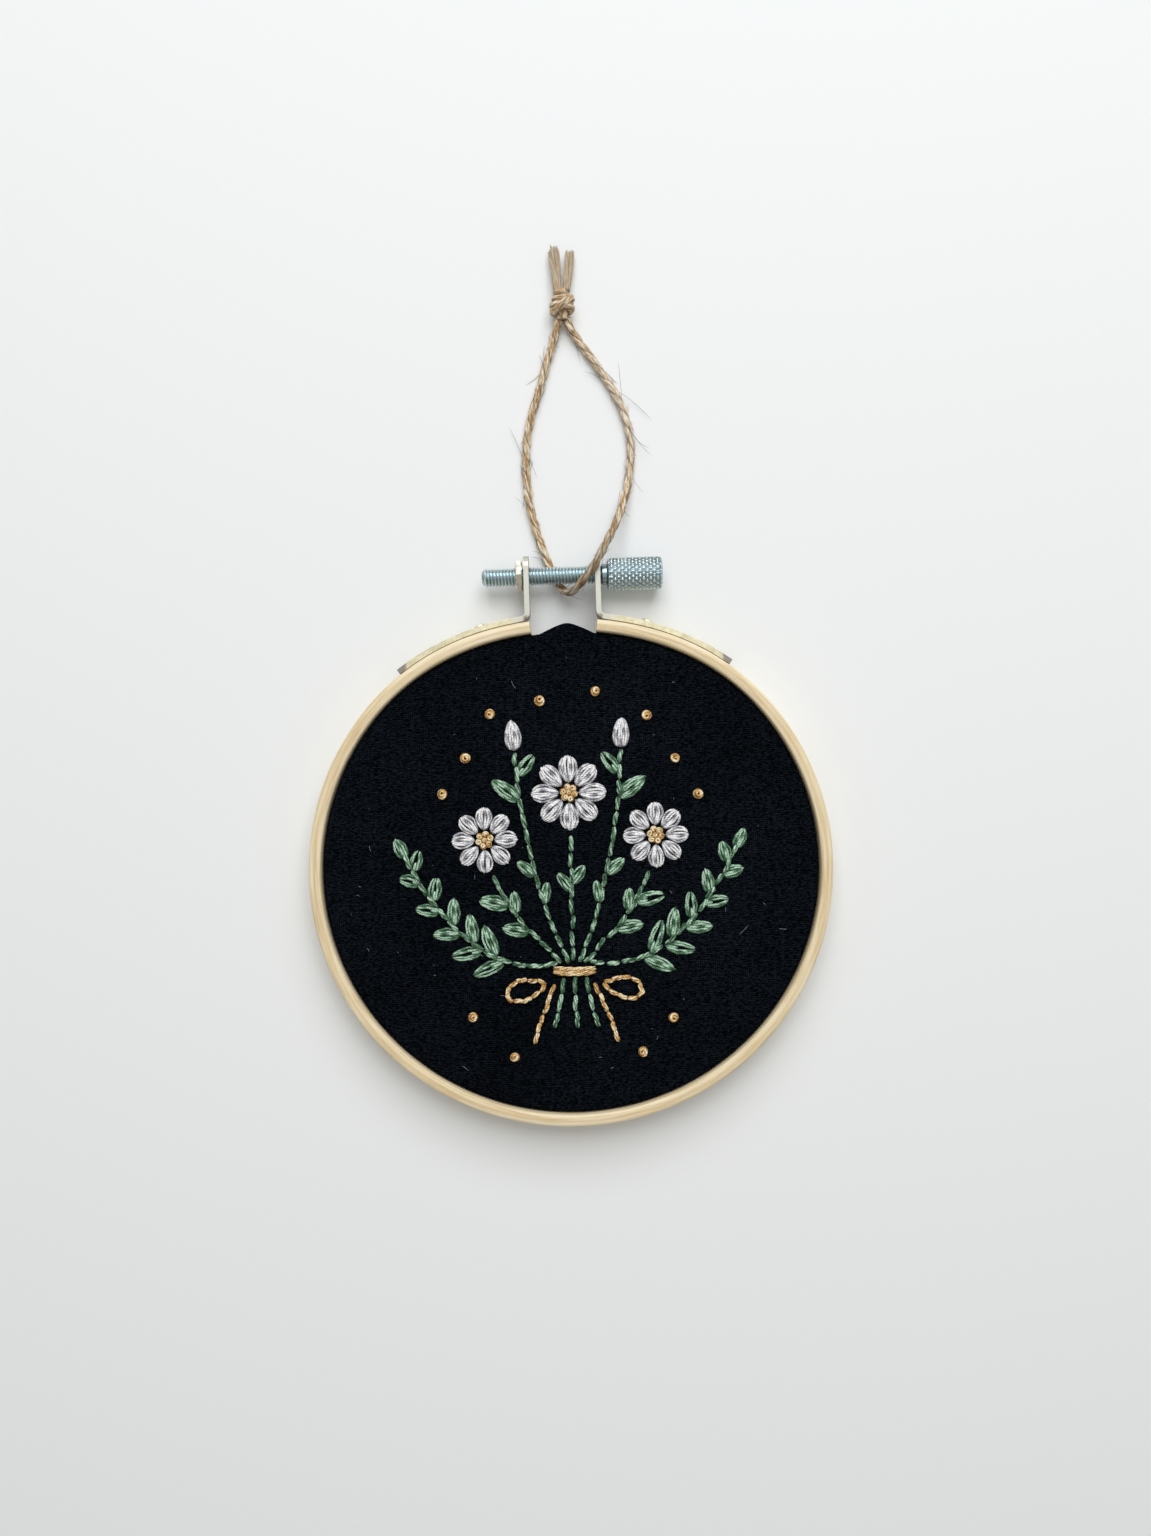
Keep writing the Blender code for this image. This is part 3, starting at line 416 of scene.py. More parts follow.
def piece(name, grids, finish, body="hoop", stands_for=(), sharp_deg=None):
    """Make one object from grids of points.

    Each grid is (points, joined): points has the shape (k, m, n,
                                                         3), that is k surfaces of m rows, each row a
    closed line of n points. joined closes the rows into a ring; otherwise a flat face closes each end.
    Each grid is turned so that its volume is positive, which puts its faces outwards. The UV map holds mm
    along the rows' middles, with a new start for each surface, and turns round them."""
    points, corners, sizes, uvs = [], [], [], []
    start = 0
    for grid, joined in grids:
        k, m, n = grid.shape[:3]
        index = start + np.arange(k * m * n).reshape(k, m, n)
        middles = grid.mean(axis=2)
        steps = np.linalg.norm(np.diff(middles, axis=1, append=middles[:, :1]), axis=2) / MM
        along = np.concatenate([np.zeros((k, 1)), np.cumsum(steps, axis=1)], axis=1)
        along = along + 37.0 * np.arange(k)[:, None]
        rows = m if joined else m - 1
        here, after = index[:, :rows], np.roll(index, -1, axis=1)[:, :rows]
        beside, diagonal = np.roll(here, -1, axis=2), np.roll(after, -1, axis=2)
        quads = np.stack([here, beside, diagonal, after], axis=-1).reshape(-1, 4)
        u0 = np.repeat(along[:, :rows, None], n, axis=2)
        u1 = np.repeat(along[:, 1:rows + 1, None], n, axis=2)
        v0 = np.broadcast_to(np.arange(n) / n, u0.shape)
        v1 = v0 + 1.0 / n
        uv = np.stack([np.stack([u0, v0], -1), np.stack([u0, v1], -1),
                       np.stack([u1, v1], -1), np.stack([u1, v0], -1)], axis=-2).reshape(-1, 4, 2)
        flat = grid.reshape(-1, 3)
        p = flat[quads - start]
        volume = np.einsum("ij,ij->", p[:, 0], np.cross(p[:, 1], p[:, 2]) + np.cross(p[:, 2], p[:, 3]))
        if volume < 0:
            quads, uv = quads[:, ::-1], uv[:, ::-1]
        points.append(flat)
        corners.append(quads.ravel())
        sizes.append(np.full(len(quads), 4))
        uvs.append(uv.reshape(-1, 2))
        if not joined:
            for row, first in ((0, True), (m - 1, False)):
                cap = index[:, row]
                cap = cap[:, ::-1] if first == (volume >= 0) else cap
                corners.append(cap.ravel())
                sizes.append(np.full(k, n))
                turns = np.broadcast_to(np.arange(n) / n, (k, n))
                uvs.append(np.stack([np.repeat(along[:, row, None], n, axis=1), turns], -1).reshape(-1, 2))
        start += k * m * n
    corners, sizes = np.concatenate(corners), np.concatenate(sizes)
    mesh = bpy.data.meshes.new(name)
    mesh.vertices.add(start)
    mesh.vertices.foreach_set("co", np.concatenate(points).astype(np.float32).ravel())
    mesh.loops.add(len(corners))
    mesh.loops.foreach_set("vertex_index", corners.astype(np.int32))
    mesh.polygons.add(len(sizes))
    mesh.polygons.foreach_set("loop_start", (np.cumsum(sizes) - sizes).astype(np.int32))
    mesh.polygons.foreach_set("loop_total", sizes.astype(np.int32))
    layer = mesh.uv_layers.new(name="along_mm")
    layer.uv.foreach_set("vector", np.concatenate(uvs).astype(np.float32).ravel())
    mesh.update(calc_edges=True)
    mesh.shade_smooth()
    if sharp_deg is not None:
        mesh.set_sharp_from_angle(angle=math.radians(sharp_deg))
    mesh.materials.append(finish)
    made = bpy.data.objects.new(name, mesh)
    bpy.context.scene.collection.objects.link(made)
    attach(made, body)
    if stands_for:
        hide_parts(*stands_for)
    return made


def smooth_path(points, steps):
    """Points on a Catmull-Rom curve through a list of points, with a fixed number in each span."""
    p = np.array(points, float)
    p = np.vstack([2 * p[0] - p[1], p, 2 * p[-1] - p[-2]])
    t = np.linspace(0.0, 1.0, steps, endpoint=False)[:, None]
    spans = []
    for a, b, c, d in zip(p, p[1:], p[2:], p[3:]):
        spans.append(0.5 * (2 * b + (c - a) * t + (2 * a - 5 * b + 4 * c - d) * t**2
                            + (3 * b - a - 3 * c + d) * t**3))
    return np.vstack([*spans, p[-2:-1]])


def even_path(points, count):
    """The same path with a fixed number of evenly spaced points, and its length."""
    along = np.concatenate([[0.0], np.cumsum(np.linalg.norm(np.diff(points, axis=0), axis=1))])
    at = np.linspace(0.0, along[-1], count)
    return np.column_stack([np.interp(at, along, points[:, k]) for k in range(3)]), along[-1]


def crossways(paths):
    """Level and upright unit directions across paths of the shape (k, m, 3)."""
    tangents = np.gradient(paths, axis=1)
    tangents /= np.linalg.norm(tangents, axis=2, keepdims=True)
    sides = np.cross(tangents, (0.0, 0.0, 1.0))
    sides /= np.linalg.norm(sides, axis=2, keepdims=True)
    return sides, np.cross(sides, tangents)


def tubes(paths, wide, high, count=6, end=0.45):
    """Grids of thread: an ellipse wide by high goes along each path and narrows to a share at its ends."""
    sides, ups = crossways(paths)
    a = np.linspace(0.0, 2 * np.pi, count, endpoint=False)
    share = np.linspace(-1.0, 1.0, paths.shape[1])
    swell = (1.0 - (1.0 - end) * np.abs(share) ** 6)[None, :, None, None]
    ring = (np.cos(a)[None, None, :, None] * sides[:, :, None] * wide
            + np.sin(a)[None, None, :, None] * ups[:, :, None] * high)
    return paths[:, :, None] + 0.5 * swell * ring


def plies(paths, count, pitch, lay):
    """Paths of count plies that turn round each path, lay from its middle, once in each pitch of length. They
    come together at both ends."""
    sides, ups = crossways(paths)
    steps = np.linalg.norm(np.diff(paths, axis=1), axis=2)
    along = np.concatenate([np.zeros((len(paths), 1)), np.cumsum(steps, axis=1)], axis=1)
    share = np.linspace(-1.0, 1.0, paths.shape[1])
    reach = (lay * (1.0 - 0.70 * share**6))[None, :, None]
    first = 1.7 * np.arange(len(paths))[:, None]
    made = []
    for k in range(count):
        a = (2 * np.pi * (k / count + along / pitch) + first)[:, :, None]
        made.append(paths + reach * (np.cos(a) * sides + 0.7 * np.sin(a) * ups))
    return np.concatenate(made)


def stitches(starts, ends, front, high, bows=0.0, lifts=0.0, count=13):
    """Paths of straight stitches from cloth to cloth. Each goes straight, or bows sideways by a parabola, and
    rises steeply out of the cloth to its full height and back down."""
    a, b = np.asarray(starts, float), np.asarray(ends, float)
    s = np.linspace(0.0, 1.0, count)
    way = b - a
    across = np.stack([-way[:, 1], way[:, 0]], -1) / np.linalg.norm(way, axis=1, keepdims=True)
    bows, lifts = np.broadcast_to(bows, len(a)), np.broadcast_to(lifts, len(a))
    flat = a[:, None] + way[:, None] * s[None, :, None]
    flat = flat + across[:, None] * bows[:, None, None] * (4 * s * (1 - s))[None, :, None]
    z = front - 0.30 * high + (0.80 * high + lifts[:, None]) * (1.0 - np.abs(2 * s - 1) ** 6)[None]
    return np.concatenate([flat + (0.0, HOOP_Y), z[..., None]], axis=2)


def thread(paths, wide, settings):
    """Grids of floss on paths: three strands, loosely twisted together."""
    lay = wide * 0.27
    return tubes(plies(paths, 3, settings.twist, lay), wide * 0.50, wide * 0.46, 7, 0.35)


def bezier(start, control, end, t):
    """Points and unit directions on a curve with one control point. t is an array."""
    a, b, c = (np.array(p, float) for p in (start, control, end))
    t = np.asarray(t, float)[..., None]
    point = (1 - t) ** 2 * a + 2 * t * (1 - t) * b + t**2 * c
    along = 2 * (1 - t) * (b - a) + 2 * t * (c - b)
    return point, along / np.linalg.norm(along, axis=-1, keepdims=True)


def back_stitches(line, long, front, high, rng, overlap=-0.00008):
    """Paths of back stitches along a flat line of points, each of about one length and a little askew."""
    steps = np.linalg.norm(np.diff(line, axis=0), axis=1)
    along = np.concatenate([[0.0], np.cumsum(steps)])
    count = max(1, round(along[-1] / long))
    at = np.linspace(0.0, along[-1], count + 1)
    lows, highs = at[:-1] - overlap, at[1:] + overlap
    a = np.column_stack([np.interp(lows, along, line[:, k]) for k in (0, 1)])
    b = np.column_stack([np.interp(highs, along, line[:, k]) for k in (0, 1)])
    jitter = rng.normal(0.0, 0.00014, (2, count, 2))
    lifts = np.where(np.arange(count) % 2, 0.00012, 0.0)
    return stitches(a + jitter[0], b + jitter[1], front, high, rng.normal(0, 0.00006, count), lifts)


def leaf_stitches(base, heading, long, wide, strand, front, rng, full=0.85, open_from=1.0):
    """Paths of the lengthwise strands that fill a leaf. The outer ones bow to its outline
    wide/2 sin(pi t^full)^0.8, the middle ones lie higher, and those next to the middle may stop at open_from,
    which leaves a slit as in a looped stitch."""
    count = max(3, round(wide / (strand * 0.93)))
    offset = np.linspace(-1.0, 1.0, count)
    s = np.linspace(0.0, 1.0, 17)
    room = (wide - strand) / 2
    first = 0.06 * np.abs(offset) + rng.uniform(0, 0.03, count)
    last = 1.0 - 0.05 * np.abs(offset) - rng.uniform(0, 0.05, count)
    last = np.where(np.abs(offset) < 0.3, np.minimum(last, open_from), last)
    t = first[:, None] + (last - first)[:, None] * s[None]
    lateral = offset[:, None] * room * np.sin(np.pi * np.clip(t, 0, 1) ** full) ** 0.8
    lateral += offset[:, None] * strand * 0.22 + rng.normal(0, 0.07 * strand, (count, 1))
    sway = rng.normal(0, 0.10 * strand, (count, 1)) * np.sin(np.pi * s)[None]
    u, v = t * long, lateral + sway
    x = base[0] + u * math.cos(heading) - v * math.sin(heading)
    y = base[1] + u * math.sin(heading) + v * math.cos(heading) + HOOP_Y
    rise = 0.00030 + 0.00020 * (1.0 - offset**2) + rng.normal(0, 0.00007, count)
    z = front - 0.00012 + rise[:, None] * (1.0 - np.abs(2 * s - 1) ** 5)[None]
    return np.stack([x, y, z], axis=-1)


def knot_stitches(centres, radius, front, rng):
    """Paths of French knots: a thread goes once round low and wide, once round higher, closer and a little to
    one side, and down into the middle."""
    s = np.linspace(0.0, 1.0, 34)
    turn = 2 * np.pi * 2.2 * s
    reach = radius * np.interp(s, (0.0, 0.40, 0.55, 0.88, 1.0), (0.72, 0.74, 0.50, 0.38, 0.05))
    high = radius * np.interp(s, (0.0, 0.10, 0.40, 0.58, 0.88, 1.0), (0.02, 0.20, 0.24, 0.58, 0.60, 0.10))
    spin = rng.uniform(0, 2 * np.pi, len(centres))[:, None] + turn[None]
    centres = np.asarray(centres, float)
    squash = rng.uniform(0.84, 1.04, (2, len(centres), 1))
    lean = rng.normal(0, 0.13, (2, len(centres), 1)) * radius * np.clip((s - 0.45) / 0.15, 0, 1)
    return np.stack([centres[:, :1] + squash[0] * reach * np.cos(spin) + lean[0],
                     centres[:, 1:] + squash[1] * reach * np.sin(spin) + lean[1] + HOOP_Y,
                     np.broadcast_to(front + high, spin.shape)], axis=-1)


def inner_radius(angles, widest):
    """Inner radius of the outer ring by angle from the clamp, in radians."""
    turned = (angles + np.pi) % (2 * np.pi) - np.pi
    squeeze = CLAMP_SQUEEZE * np.cos(turned * 90.0 / CLAMP_SQUEEZE_DEG) ** 2
    squeeze = np.where(np.abs(turned) < math.radians(CLAMP_SQUEEZE_DEG), squeeze, 0.0)
    return widest - SQUEEZE_Y * np.cos(turned) ** 2 - squeeze


def around(angles, radii, z):
    """Points of the shape (angles, section, 3) from radii and heights."""
    a = angles[:, None]
    return np.stack([radii * np.sin(a), radii * np.cos(a) + HOOP_Y, np.broadcast_to(z, radii.shape)],
                    axis=-1)


def rounded_section(wide, high, edge, crown=0.0):
    """Corner points of a rectangle with round edges, from its lower inner corner, with its top crowned."""
    points = []
    for cx, cy, first in ((wide - edge, edge, -90), (wide - edge, high - edge, 0),
                          (edge, high - edge, 90), (edge, edge, 180)):
        a = np.radians(first + np.linspace(0, 90, 5))
        points.append(np.stack([cx + edge * np.cos(a), cy + edge * np.sin(a)], -1))
        if first in (0, 180):
            across = np.linspace(0, 1, 5)[1:-1] if first == 180 else np.linspace(1, 0, 5)[1:-1]
            level = high if first == 0 else 0.0
            lift = crown * (1 - (2 * across - 1) ** 2) if first == 0 else 0.0 * across
            points.append(np.stack([edge + across * (wide - 2 * edge), level + lift], -1))
    return np.vstack(points)


def ring_uv(made, widest):
    """Give a ring its wood coordinates: mm round it from the clamp, and mm from the outer ring's inside."""
    mesh = made.data
    points = np.empty(len(mesh.vertices) * 3, np.float32)
    mesh.vertices.foreach_get("co", points)
    points = points.reshape(-1, 3)
    corners = np.empty(len(mesh.loops), np.int32)
    mesh.loops.foreach_get("vertex_index", corners)
    p = points[corners].astype(float)
    x, y = p[:, 0], p[:, 1] - HOOP_Y
    angle = np.arctan2(x, y) % (2 * np.pi)
    quads = len(angle) // 4 * 4
    first = np.concatenate([np.repeat(angle[:quads:4], 4), angle[quads:]])
    angle = first + (angle - first + np.pi) % (2 * np.pi) - np.pi
    depth = np.hypot(x, y) - inner_radius(angle, widest)
    layer = mesh.uv_layers["along_mm"]
    layer.uv.foreach_set("vector", np.stack([angle * widest / MM, depth / MM],
                                            -1).astype(np.float32).ravel())


def build_rings(settings):
    """The split outer ring and the whole inner ring: a rounded section swept round the squeezed circle."""
    widest, wall, deep = settings.inner_radius, settings.wall, settings.depth
    finish = wood("pale bentwood", "f0e0c0", "c9ab80", "e5d2aa")
    middle = float(inner_radius(np.array(0.0), widest)) + wall / 2
    first = math.asin(GAP_HALF / middle)
    angles = np.linspace(first, 2 * np.pi - first, 401)
    section = rounded_section(wall, deep, settings.edge, 0.00008)
    radii = inner_radius(angles, widest)[:, None] + section[None, :, 0]
    outer = piece("outer_ring_wood", [(around(angles, radii, section[:, 1])[None], False)], finish,
                  stands_for=["outer_ring"], sharp_deg=50)
    ring_uv(outer, widest)
    top = settings.inner_top
    inner_wall = settings.inner_wall
    angles = np.linspace(0, 2 * np.pi, 360, endpoint=False)
    section = rounded_section(inner_wall, top, settings.edge)
    radii = inner_radius(angles, widest)[:, None] - settings.inner_inset - inner_wall + section[None, :, 0]
    inner = piece("inner_ring_wood", [(around(angles, radii, section[:, 1])[None], True)], finish,
                  stands_for=["inner_ring"], sharp_deg=50)
    ring_uv(inner, widest)


def cloth_edge(angles, settings):
    """Outer radius of the cloth's wall, with its bulge in the clamp gap."""
    radius = inner_radius(angles, settings.widest) - settings.clearance
    x = radius * np.sin(angles)
    tip = 0.0011
    reach = math.hypot(settings.tent_half, tip) - tip
    slope = (np.hypot(x - settings.tent_x, tip) - tip) / reach
    bulge = np.where((np.cos(angles) > 0) & (slope < 1), settings.tent_rise * (1 - slope), 0.0)
    return radius + bulge


def build_cloth(settings):
    """The cotton as one thin closed sheet: a flat face, a fold over the inner ring and a trimmed wall.

    Rows go out from the middle of the face to the fold, down the wall, round the cut edge and back under.
    Near the ring the face carries low radial puckers, whose phase wanders round the hoop."""
    angles = np.linspace(0, 2 * np.pi, 540, endpoint=False)
    edge = cloth_edge(angles, settings)
    front, thick, fold, tail = settings.front, settings.thickness, settings.fold, settings.tail
    rows = []
    for share in (0.003, 0.2, 0.4, 0.6, 0.72, 0.80, 0.86, 0.90, 0.93, 0.955, 0.975):
        rows.append((share * (edge - fold), front, 1.0))
    for a in np.radians(np.linspace(0, 90, 7)):
        rows.append((edge - fold * (1 - math.sin(a)), front - fold * (1 - math.cos(a)), 1.0))
    for z in np.linspace(front - fold, tail, 5)[1:-1]:
        rows.append((edge, z, 0.0))
    for a in np.radians(np.linspace(0, 180, 5)):
        rows.append((edge - thick / 2 * (1 - math.cos(a)), tail - thick / 2 * math.sin(a), 0.0))
    inside = fold - thick * 0.4
    for a in np.radians(np.linspace(90, 0, 5)):
        rows.append((edge - thick - inside * (1 - math.sin(a)), front - thick - inside * (1 - math.cos(a)),
                     0.0))
    for share in (0.9, 0.6, 0.003):
        rows.append((share * (edge - fold), front - thick, 0.0))
    wander = 40 * angles + 2.1 * np.sin(3 * angles) + 1.4 * np.sin(7 * angles + 1.0)
    pucker = 0.5 + 0.5 * np.sin(wander)
    grid = []
    for radius, z, puckered in rows:
        near = np.clip((radius / edge - 0.86) / 0.12, 0, 1) ** 2
        drop = settings.pucker * pucker * near * puckered
        grid.append(np.stack([radius * np.sin(angles), radius * np.cos(angles) + HOOP_Y, z - drop], -1))
    finish = cotton_cloth("black cotton cloth", settings.dark, settings.light, settings.pitch)
    return piece("cloth_drum", [(np.array(grid)[None], False)], finish, stands_for=["cloth"])


def build_lint(settings, rng):
    """A few pale specks and fibres caught on the cloth."""
    count = settings.lint
    angle, reach = rng.uniform(0, 2 * np.pi, count), 0.048 * np.sqrt(rng.uniform(0, 1, count))
    roots = np.column_stack([reach * np.sin(angle), reach * np.cos(angle) + HOOP_Y,
                             np.full(count, settings.front + 0.00006)])
    turn = rng.uniform(0, 2 * np.pi, count)
    ways = np.column_stack([np.cos(turn), np.sin(turn), np.full(count, 0.03)])
    long = np.clip(rng.gamma(1.5, 0.00035, count), 0.00015, 0.0022)
    s = np.linspace(0, 1, 6)[None, :, None]
    bend = np.column_stack([rng.normal(0, 1, count), rng.normal(0, 1, count), np.zeros(count)])
    bend = bend * long[:, None] * 0.4
    paths = roots[:, None] + ways[:, None] * long[:, None, None] * s + bend[:, None] * s**2
    finish, _, shader = new_material("pale cotton lint", Roughness=0.95)
    shader.inputs["Base Color"].default_value = linear("9298a4")
    return piece("cloth_lint", [(tubes(paths, 0.00007, 0.00006, 4, 0.5), False)], finish)


def lathe(rows, count, centre, radius_of=None):
    """Grid of a shape turned about an axis along X. rows are (x, radius); radius_of may change the radii by
    position and angle."""
    x, r = (np.array(column)[:, None] for column in zip(*rows))
    a = np.linspace(0, 2 * np.pi, count, endpoint=False)[None]
    r = np.broadcast_to(r, (len(x), count)) if radius_of is None else radius_of(x, a, r)
    x = np.broadcast_to(x, r.shape)
    return np.stack([centre[0] + x, centre[1] + r * np.cos(a), centre[2] + r * np.sin(a)], axis=-1)[None]


def build_clamp(settings):
    """The nut, the rivets, the bevelled ears and the thumb screw with its true thread and knurl."""
    nickel = metal("nickel plated steel", settings.nickel, 0.32)
    plated = ear_metal("plated steel strip", "c2c1b7", "e0d8bc", "8a867c")
    zinc = grooved_metal("blue zinc plated steel", settings)
    for side in ("left", "right"):
        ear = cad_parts[f"bracket_{side}"]
        ear.data.materials.clear()
        ear.data.materials.append(plated)
        ear.modifiers.new("Weld", "WELD").merge_threshold = 0.00001
        soft = ear.modifiers.new("Soft edges", "BEVEL")
        soft.width, soft.segments, soft.limit_method = 0.00018, 2, "ANGLE"
    build_nut(settings, nickel)
    build_rivets(settings, metal("dull plated rivet", "f0ead2", 0.42, metallic=0.55))
    build_screw(settings, zinc)


def build_nut(settings, finish):
    """A thin nut: a hexagon, cut back by a cone at both faces, round a plain hole."""
    flats, thick = settings.nut_flats / 2, settings.nut_thick
    hole, x = settings.screw_radius + 0.00022, -NEXT_TO_EAR

    def outline(place, a, r):
        within = (a + np.pi / 6) % (np.pi / 3) - np.pi / 6
        return np.minimum(np.broadcast_to(r, (len(place), a.shape[1])), flats / np.cos(within))

    rows = [(x, flats * 0.99), (x - thick * 0.16, flats * 1.2), (x - thick * 0.84, flats * 1.2),
            (x - thick, flats * 0.99), (x - thick, hole + 0.0002), (x - thick + 0.0002, hole),
            (x - 0.0002, hole), (x, hole + 0.0002)]
    grid = lathe(rows, 96, SCREW_AXIS, outline)
    piece("nut", [(grid, True)], finish, stands_for=["clamp_nut"], sharp_deg=25)


def build_rivets(settings, finish):
    """Two low domes on the strips."""
    for side, word in ((-1, "left"), (1, "right")):
        a = math.radians(settings.rivet_deg) * side
        seat = float(inner_radius(np.array(a), settings.widest)) + RIVET_SEAT
        t = np.linspace(0, 2 * np.pi, 28, endpoint=False)
        rows = []
        for share, height in ((1.0, 0.0), (1.0, 0.25), (0.94, 0.52), (0.78, 0.78), (0.5, 0.94), (0.2, 1.0)):
            r = settings.rivet_radius * share
            out = seat + 0.0006 * height
            flat = r * np.cos(t)
            rows.append(np.stack([out * math.sin(a) + flat * math.cos(a),
                                  out * math.cos(a) - flat * math.sin(a) + HOOP_Y,
                                  SCREW_AXIS[2] + r * np.sin(t)], -1))
        piece(f"rivet_dome_{word}", [(np.array(rows)[None], False)], finish, stands_for=[f"rivet_{word}"],
              sharp_deg=60)


def build_screw(settings, finish):
    """One turned piece about X: a rod whose radius follows a helical ridge, a collar, and a head that two
    sets of slanting grooves cross, which leave diamonds."""
    crest, pitch, tip = settings.screw_radius, settings.thread_pitch, settings.tip_x
    deep = 0.00044
    collar, head, end = NEXT_TO_EAR, settings.head_x, settings.head_end_x

    def helix(x, a, r):
        phase = (x / pitch - a / (2 * np.pi)) % 1.0
        ridge = 1.0 - np.abs(2 * phase - 1.0)
        ends = np.clip((x - tip) / 0.0008, 0, 1)
        return np.minimum(crest - deep * (1.0 - ridge) ** 1.3, crest - 0.0007 * (1 - ends))

    xs = np.arange(tip, collar + 0.0003, pitch / 8)
    rod = lathe([(x, crest) for x in xs], 40, SCREW_AXIS, helix)
    ring = [(collar, 0.0012), (collar, 0.0019), (collar + 0.0002, settings.collar_radius),
            (head - 0.0001, settings.collar_radius), (head + 0.0001, 0.0012)]
    neck = lathe(ring, 48, SCREW_AXIS)
    radius, count = settings.head_radius, 18
    slope = settings.knurl_pitch

    def diamonds(x, a, r):
        one = np.abs(np.sin(count * a / 2 + np.pi * x / slope))
        two = np.abs(np.sin(count * a / 2 - np.pi * x / slope))
        groove = 1.0 - np.minimum(one, two)
        flat = np.clip(np.minimum(x - head, end - x) / 0.0006, 0, 1)
        return r - settings.knurl_depth * groove * flat

    body = np.linspace(head + 0.0003, end - 0.0003, 90)
    rows = [(head, radius - 0.0007), (head + 0.00012, radius - 0.0003)] + [(x, radius) for x in body]
    rows += [(end - 0.00012, radius - 0.0003), (end, radius - 0.0007)]
    grip = lathe(rows, 176, SCREW_AXIS, diamonds)
    piece("thumb_screw", [(rod, False), (neck, False), (grip, False)], finish, body="clamp_screw",
          stands_for=["clamp_screw"], sharp_deg=40)


def cord_grid(path, diameter, pitch, waist):
    """Grid of a two-ply cord: a waisted section turns once in each pitch, flat where it meets the floor."""
    sides, ups = crossways(path[None])
    steps = np.linalg.norm(np.diff(path, axis=0), axis=1)
    along = np.concatenate([[0.0], np.cumsum(steps)])
    a = np.linspace(0, 2 * np.pi, CORD_SIDES, endpoint=False)
    r = diameter / 2 * (waist + (1 - waist) * np.abs(np.cos(a)) ** 0.8)
    turn = a[None] + (2 * np.pi * along / pitch)[:, None]
    grid = path[:, None] + r[None, :, None] * (np.cos(turn)[..., None] * sides[0][:, None]
                                               + np.sin(turn)[..., None] * ups[0][:, None])
    grid[..., 2] = np.maximum(grid[..., 2], CORD_CLEAR)
    return grid[None]


def hairs(roots, ways, long, curl, rng, thick):
    """Grids of fine hairs: each goes from its root along its way and curls by a parabola."""
    s = np.linspace(0, 1, 6)[None, :, None]
    bend = rng.normal(0, 1, roots.shape) * curl[:, None]
    paths = roots[:, None] + ways[:, None] * long[:, None, None] * s + bend[:, None] * s**2
    paths[..., 2] = np.maximum(paths[..., 2], 0.00008)
    return tubes(paths, thick, thick, count=3, end=0.3)


def build_twine(settings):
    """The loop, its knot, its free ends and its loose hairs."""
    finish = jute_cord("natural jute", 0.8 / (settings.pitch / MM))
    end_finish = jute_cord("fluffed jute ends", 0.0, False, END_STOPS)
    hair_finish = jute_cord("loose jute hairs", 0.0, False, HAIR_STOPS)
    size, pitch, waist = settings.diameter, settings.pitch, settings.waist
    rng = np.random.default_rng(7)
    rough = smooth_path(TWINE_ROUTE, 12)
    rough[:, 1] += HOOP_Y
    path, length = even_path(rough, 760)
    loop = piece("twine", [(cord_grid(path, size, pitch, waist), False)], finish,
                 stands_for=["twine_loop"])
    centre = np.array(KNOT_CENTRE) + (0, HOOP_Y, 0)
    knot = piece("twine_knot_wraps", knot_grids(centre, size, pitch, waist), finish,
                 stands_for=["twine_knot"])
    for word, (root, tip, narrow, broad) in TWINE_TAILS.items():
        strands = brush(np.array(root), np.array(tip), narrow, broad, rng)
        piece(f"twine_end_{word}", [(strands, False)], end_finish,
                          stands_for=[f"twine_tail_{word}"])
    sides, ups = crossways(path[None])
    tangents = np.gradient(path, axis=0)
    tangents /= np.linalg.norm(tangents, axis=1)[:, None]
    loose = []
    for number, reach, lean, thick in ((settings.hairs, 0.0007, 0.40, 0.00007), (46, 0.0034, 0.8, 0.00009)):
        at = rng.integers(0, len(path), number)
        angle = rng.uniform(0, 2 * np.pi, number)
        out = np.cos(angle)[:, None] * sides[0][at] + np.sin(angle)[:, None] * ups[0][at]
        ways = out * rng.uniform(0.1, lean, (number, 1)) + tangents[at] * rng.choice([-1, 1], (number, 1))
        long = np.clip(rng.gamma(2.5, reach / 2, number), 0.0004, 0.0065)
        loose.append((hairs(path[at] + out * size * 0.42, ways, long, long * 0.22, rng, thick), False))
    fuzz = piece("twine_fuzz", loose, hair_finish)


def brush(root, tip, narrow, broad, rng):
    """Grids of an untwisted cut end: the strands of its two plies leave the root side by side and open out
    towards the tip."""
    count = 44
    turn = 2.4 * np.arange(count)
    place = np.sqrt((np.arange(count) + 0.5) / count) * 0.90
    s = np.linspace(0.0, 1.0, 12)
    size = (narrow + (broad - narrow) * s**1.3)[None]
    ply = np.where(np.arange(count) % 2, 0.40, -0.40)[:, None] * size
    a = turn[:, None] + 1.3 * s[None]
    line = root + (tip - root) * s[:, None] + (0.0, HOOP_Y, 0.0)
    end = 1.03 - 0.05 * place**2 + rng.uniform(-0.11, 0.03, count)
    paths = np.stack([line[None, :, 0] + ply + 0.58 * size * place[:, None] * np.cos(a),
                      line[None, 0, 1] + (line[:, 1] - line[0, 1])[None] * end[:, None],
                      line[None, :, 2] + 0.85 * size * place[:, None] * np.sin(a)], axis=-1)
    paths[..., 2] = np.maximum(paths[..., 2], 0.00022)
    return tubes(paths, 0.00036, 0.00034, 6, 0.6)


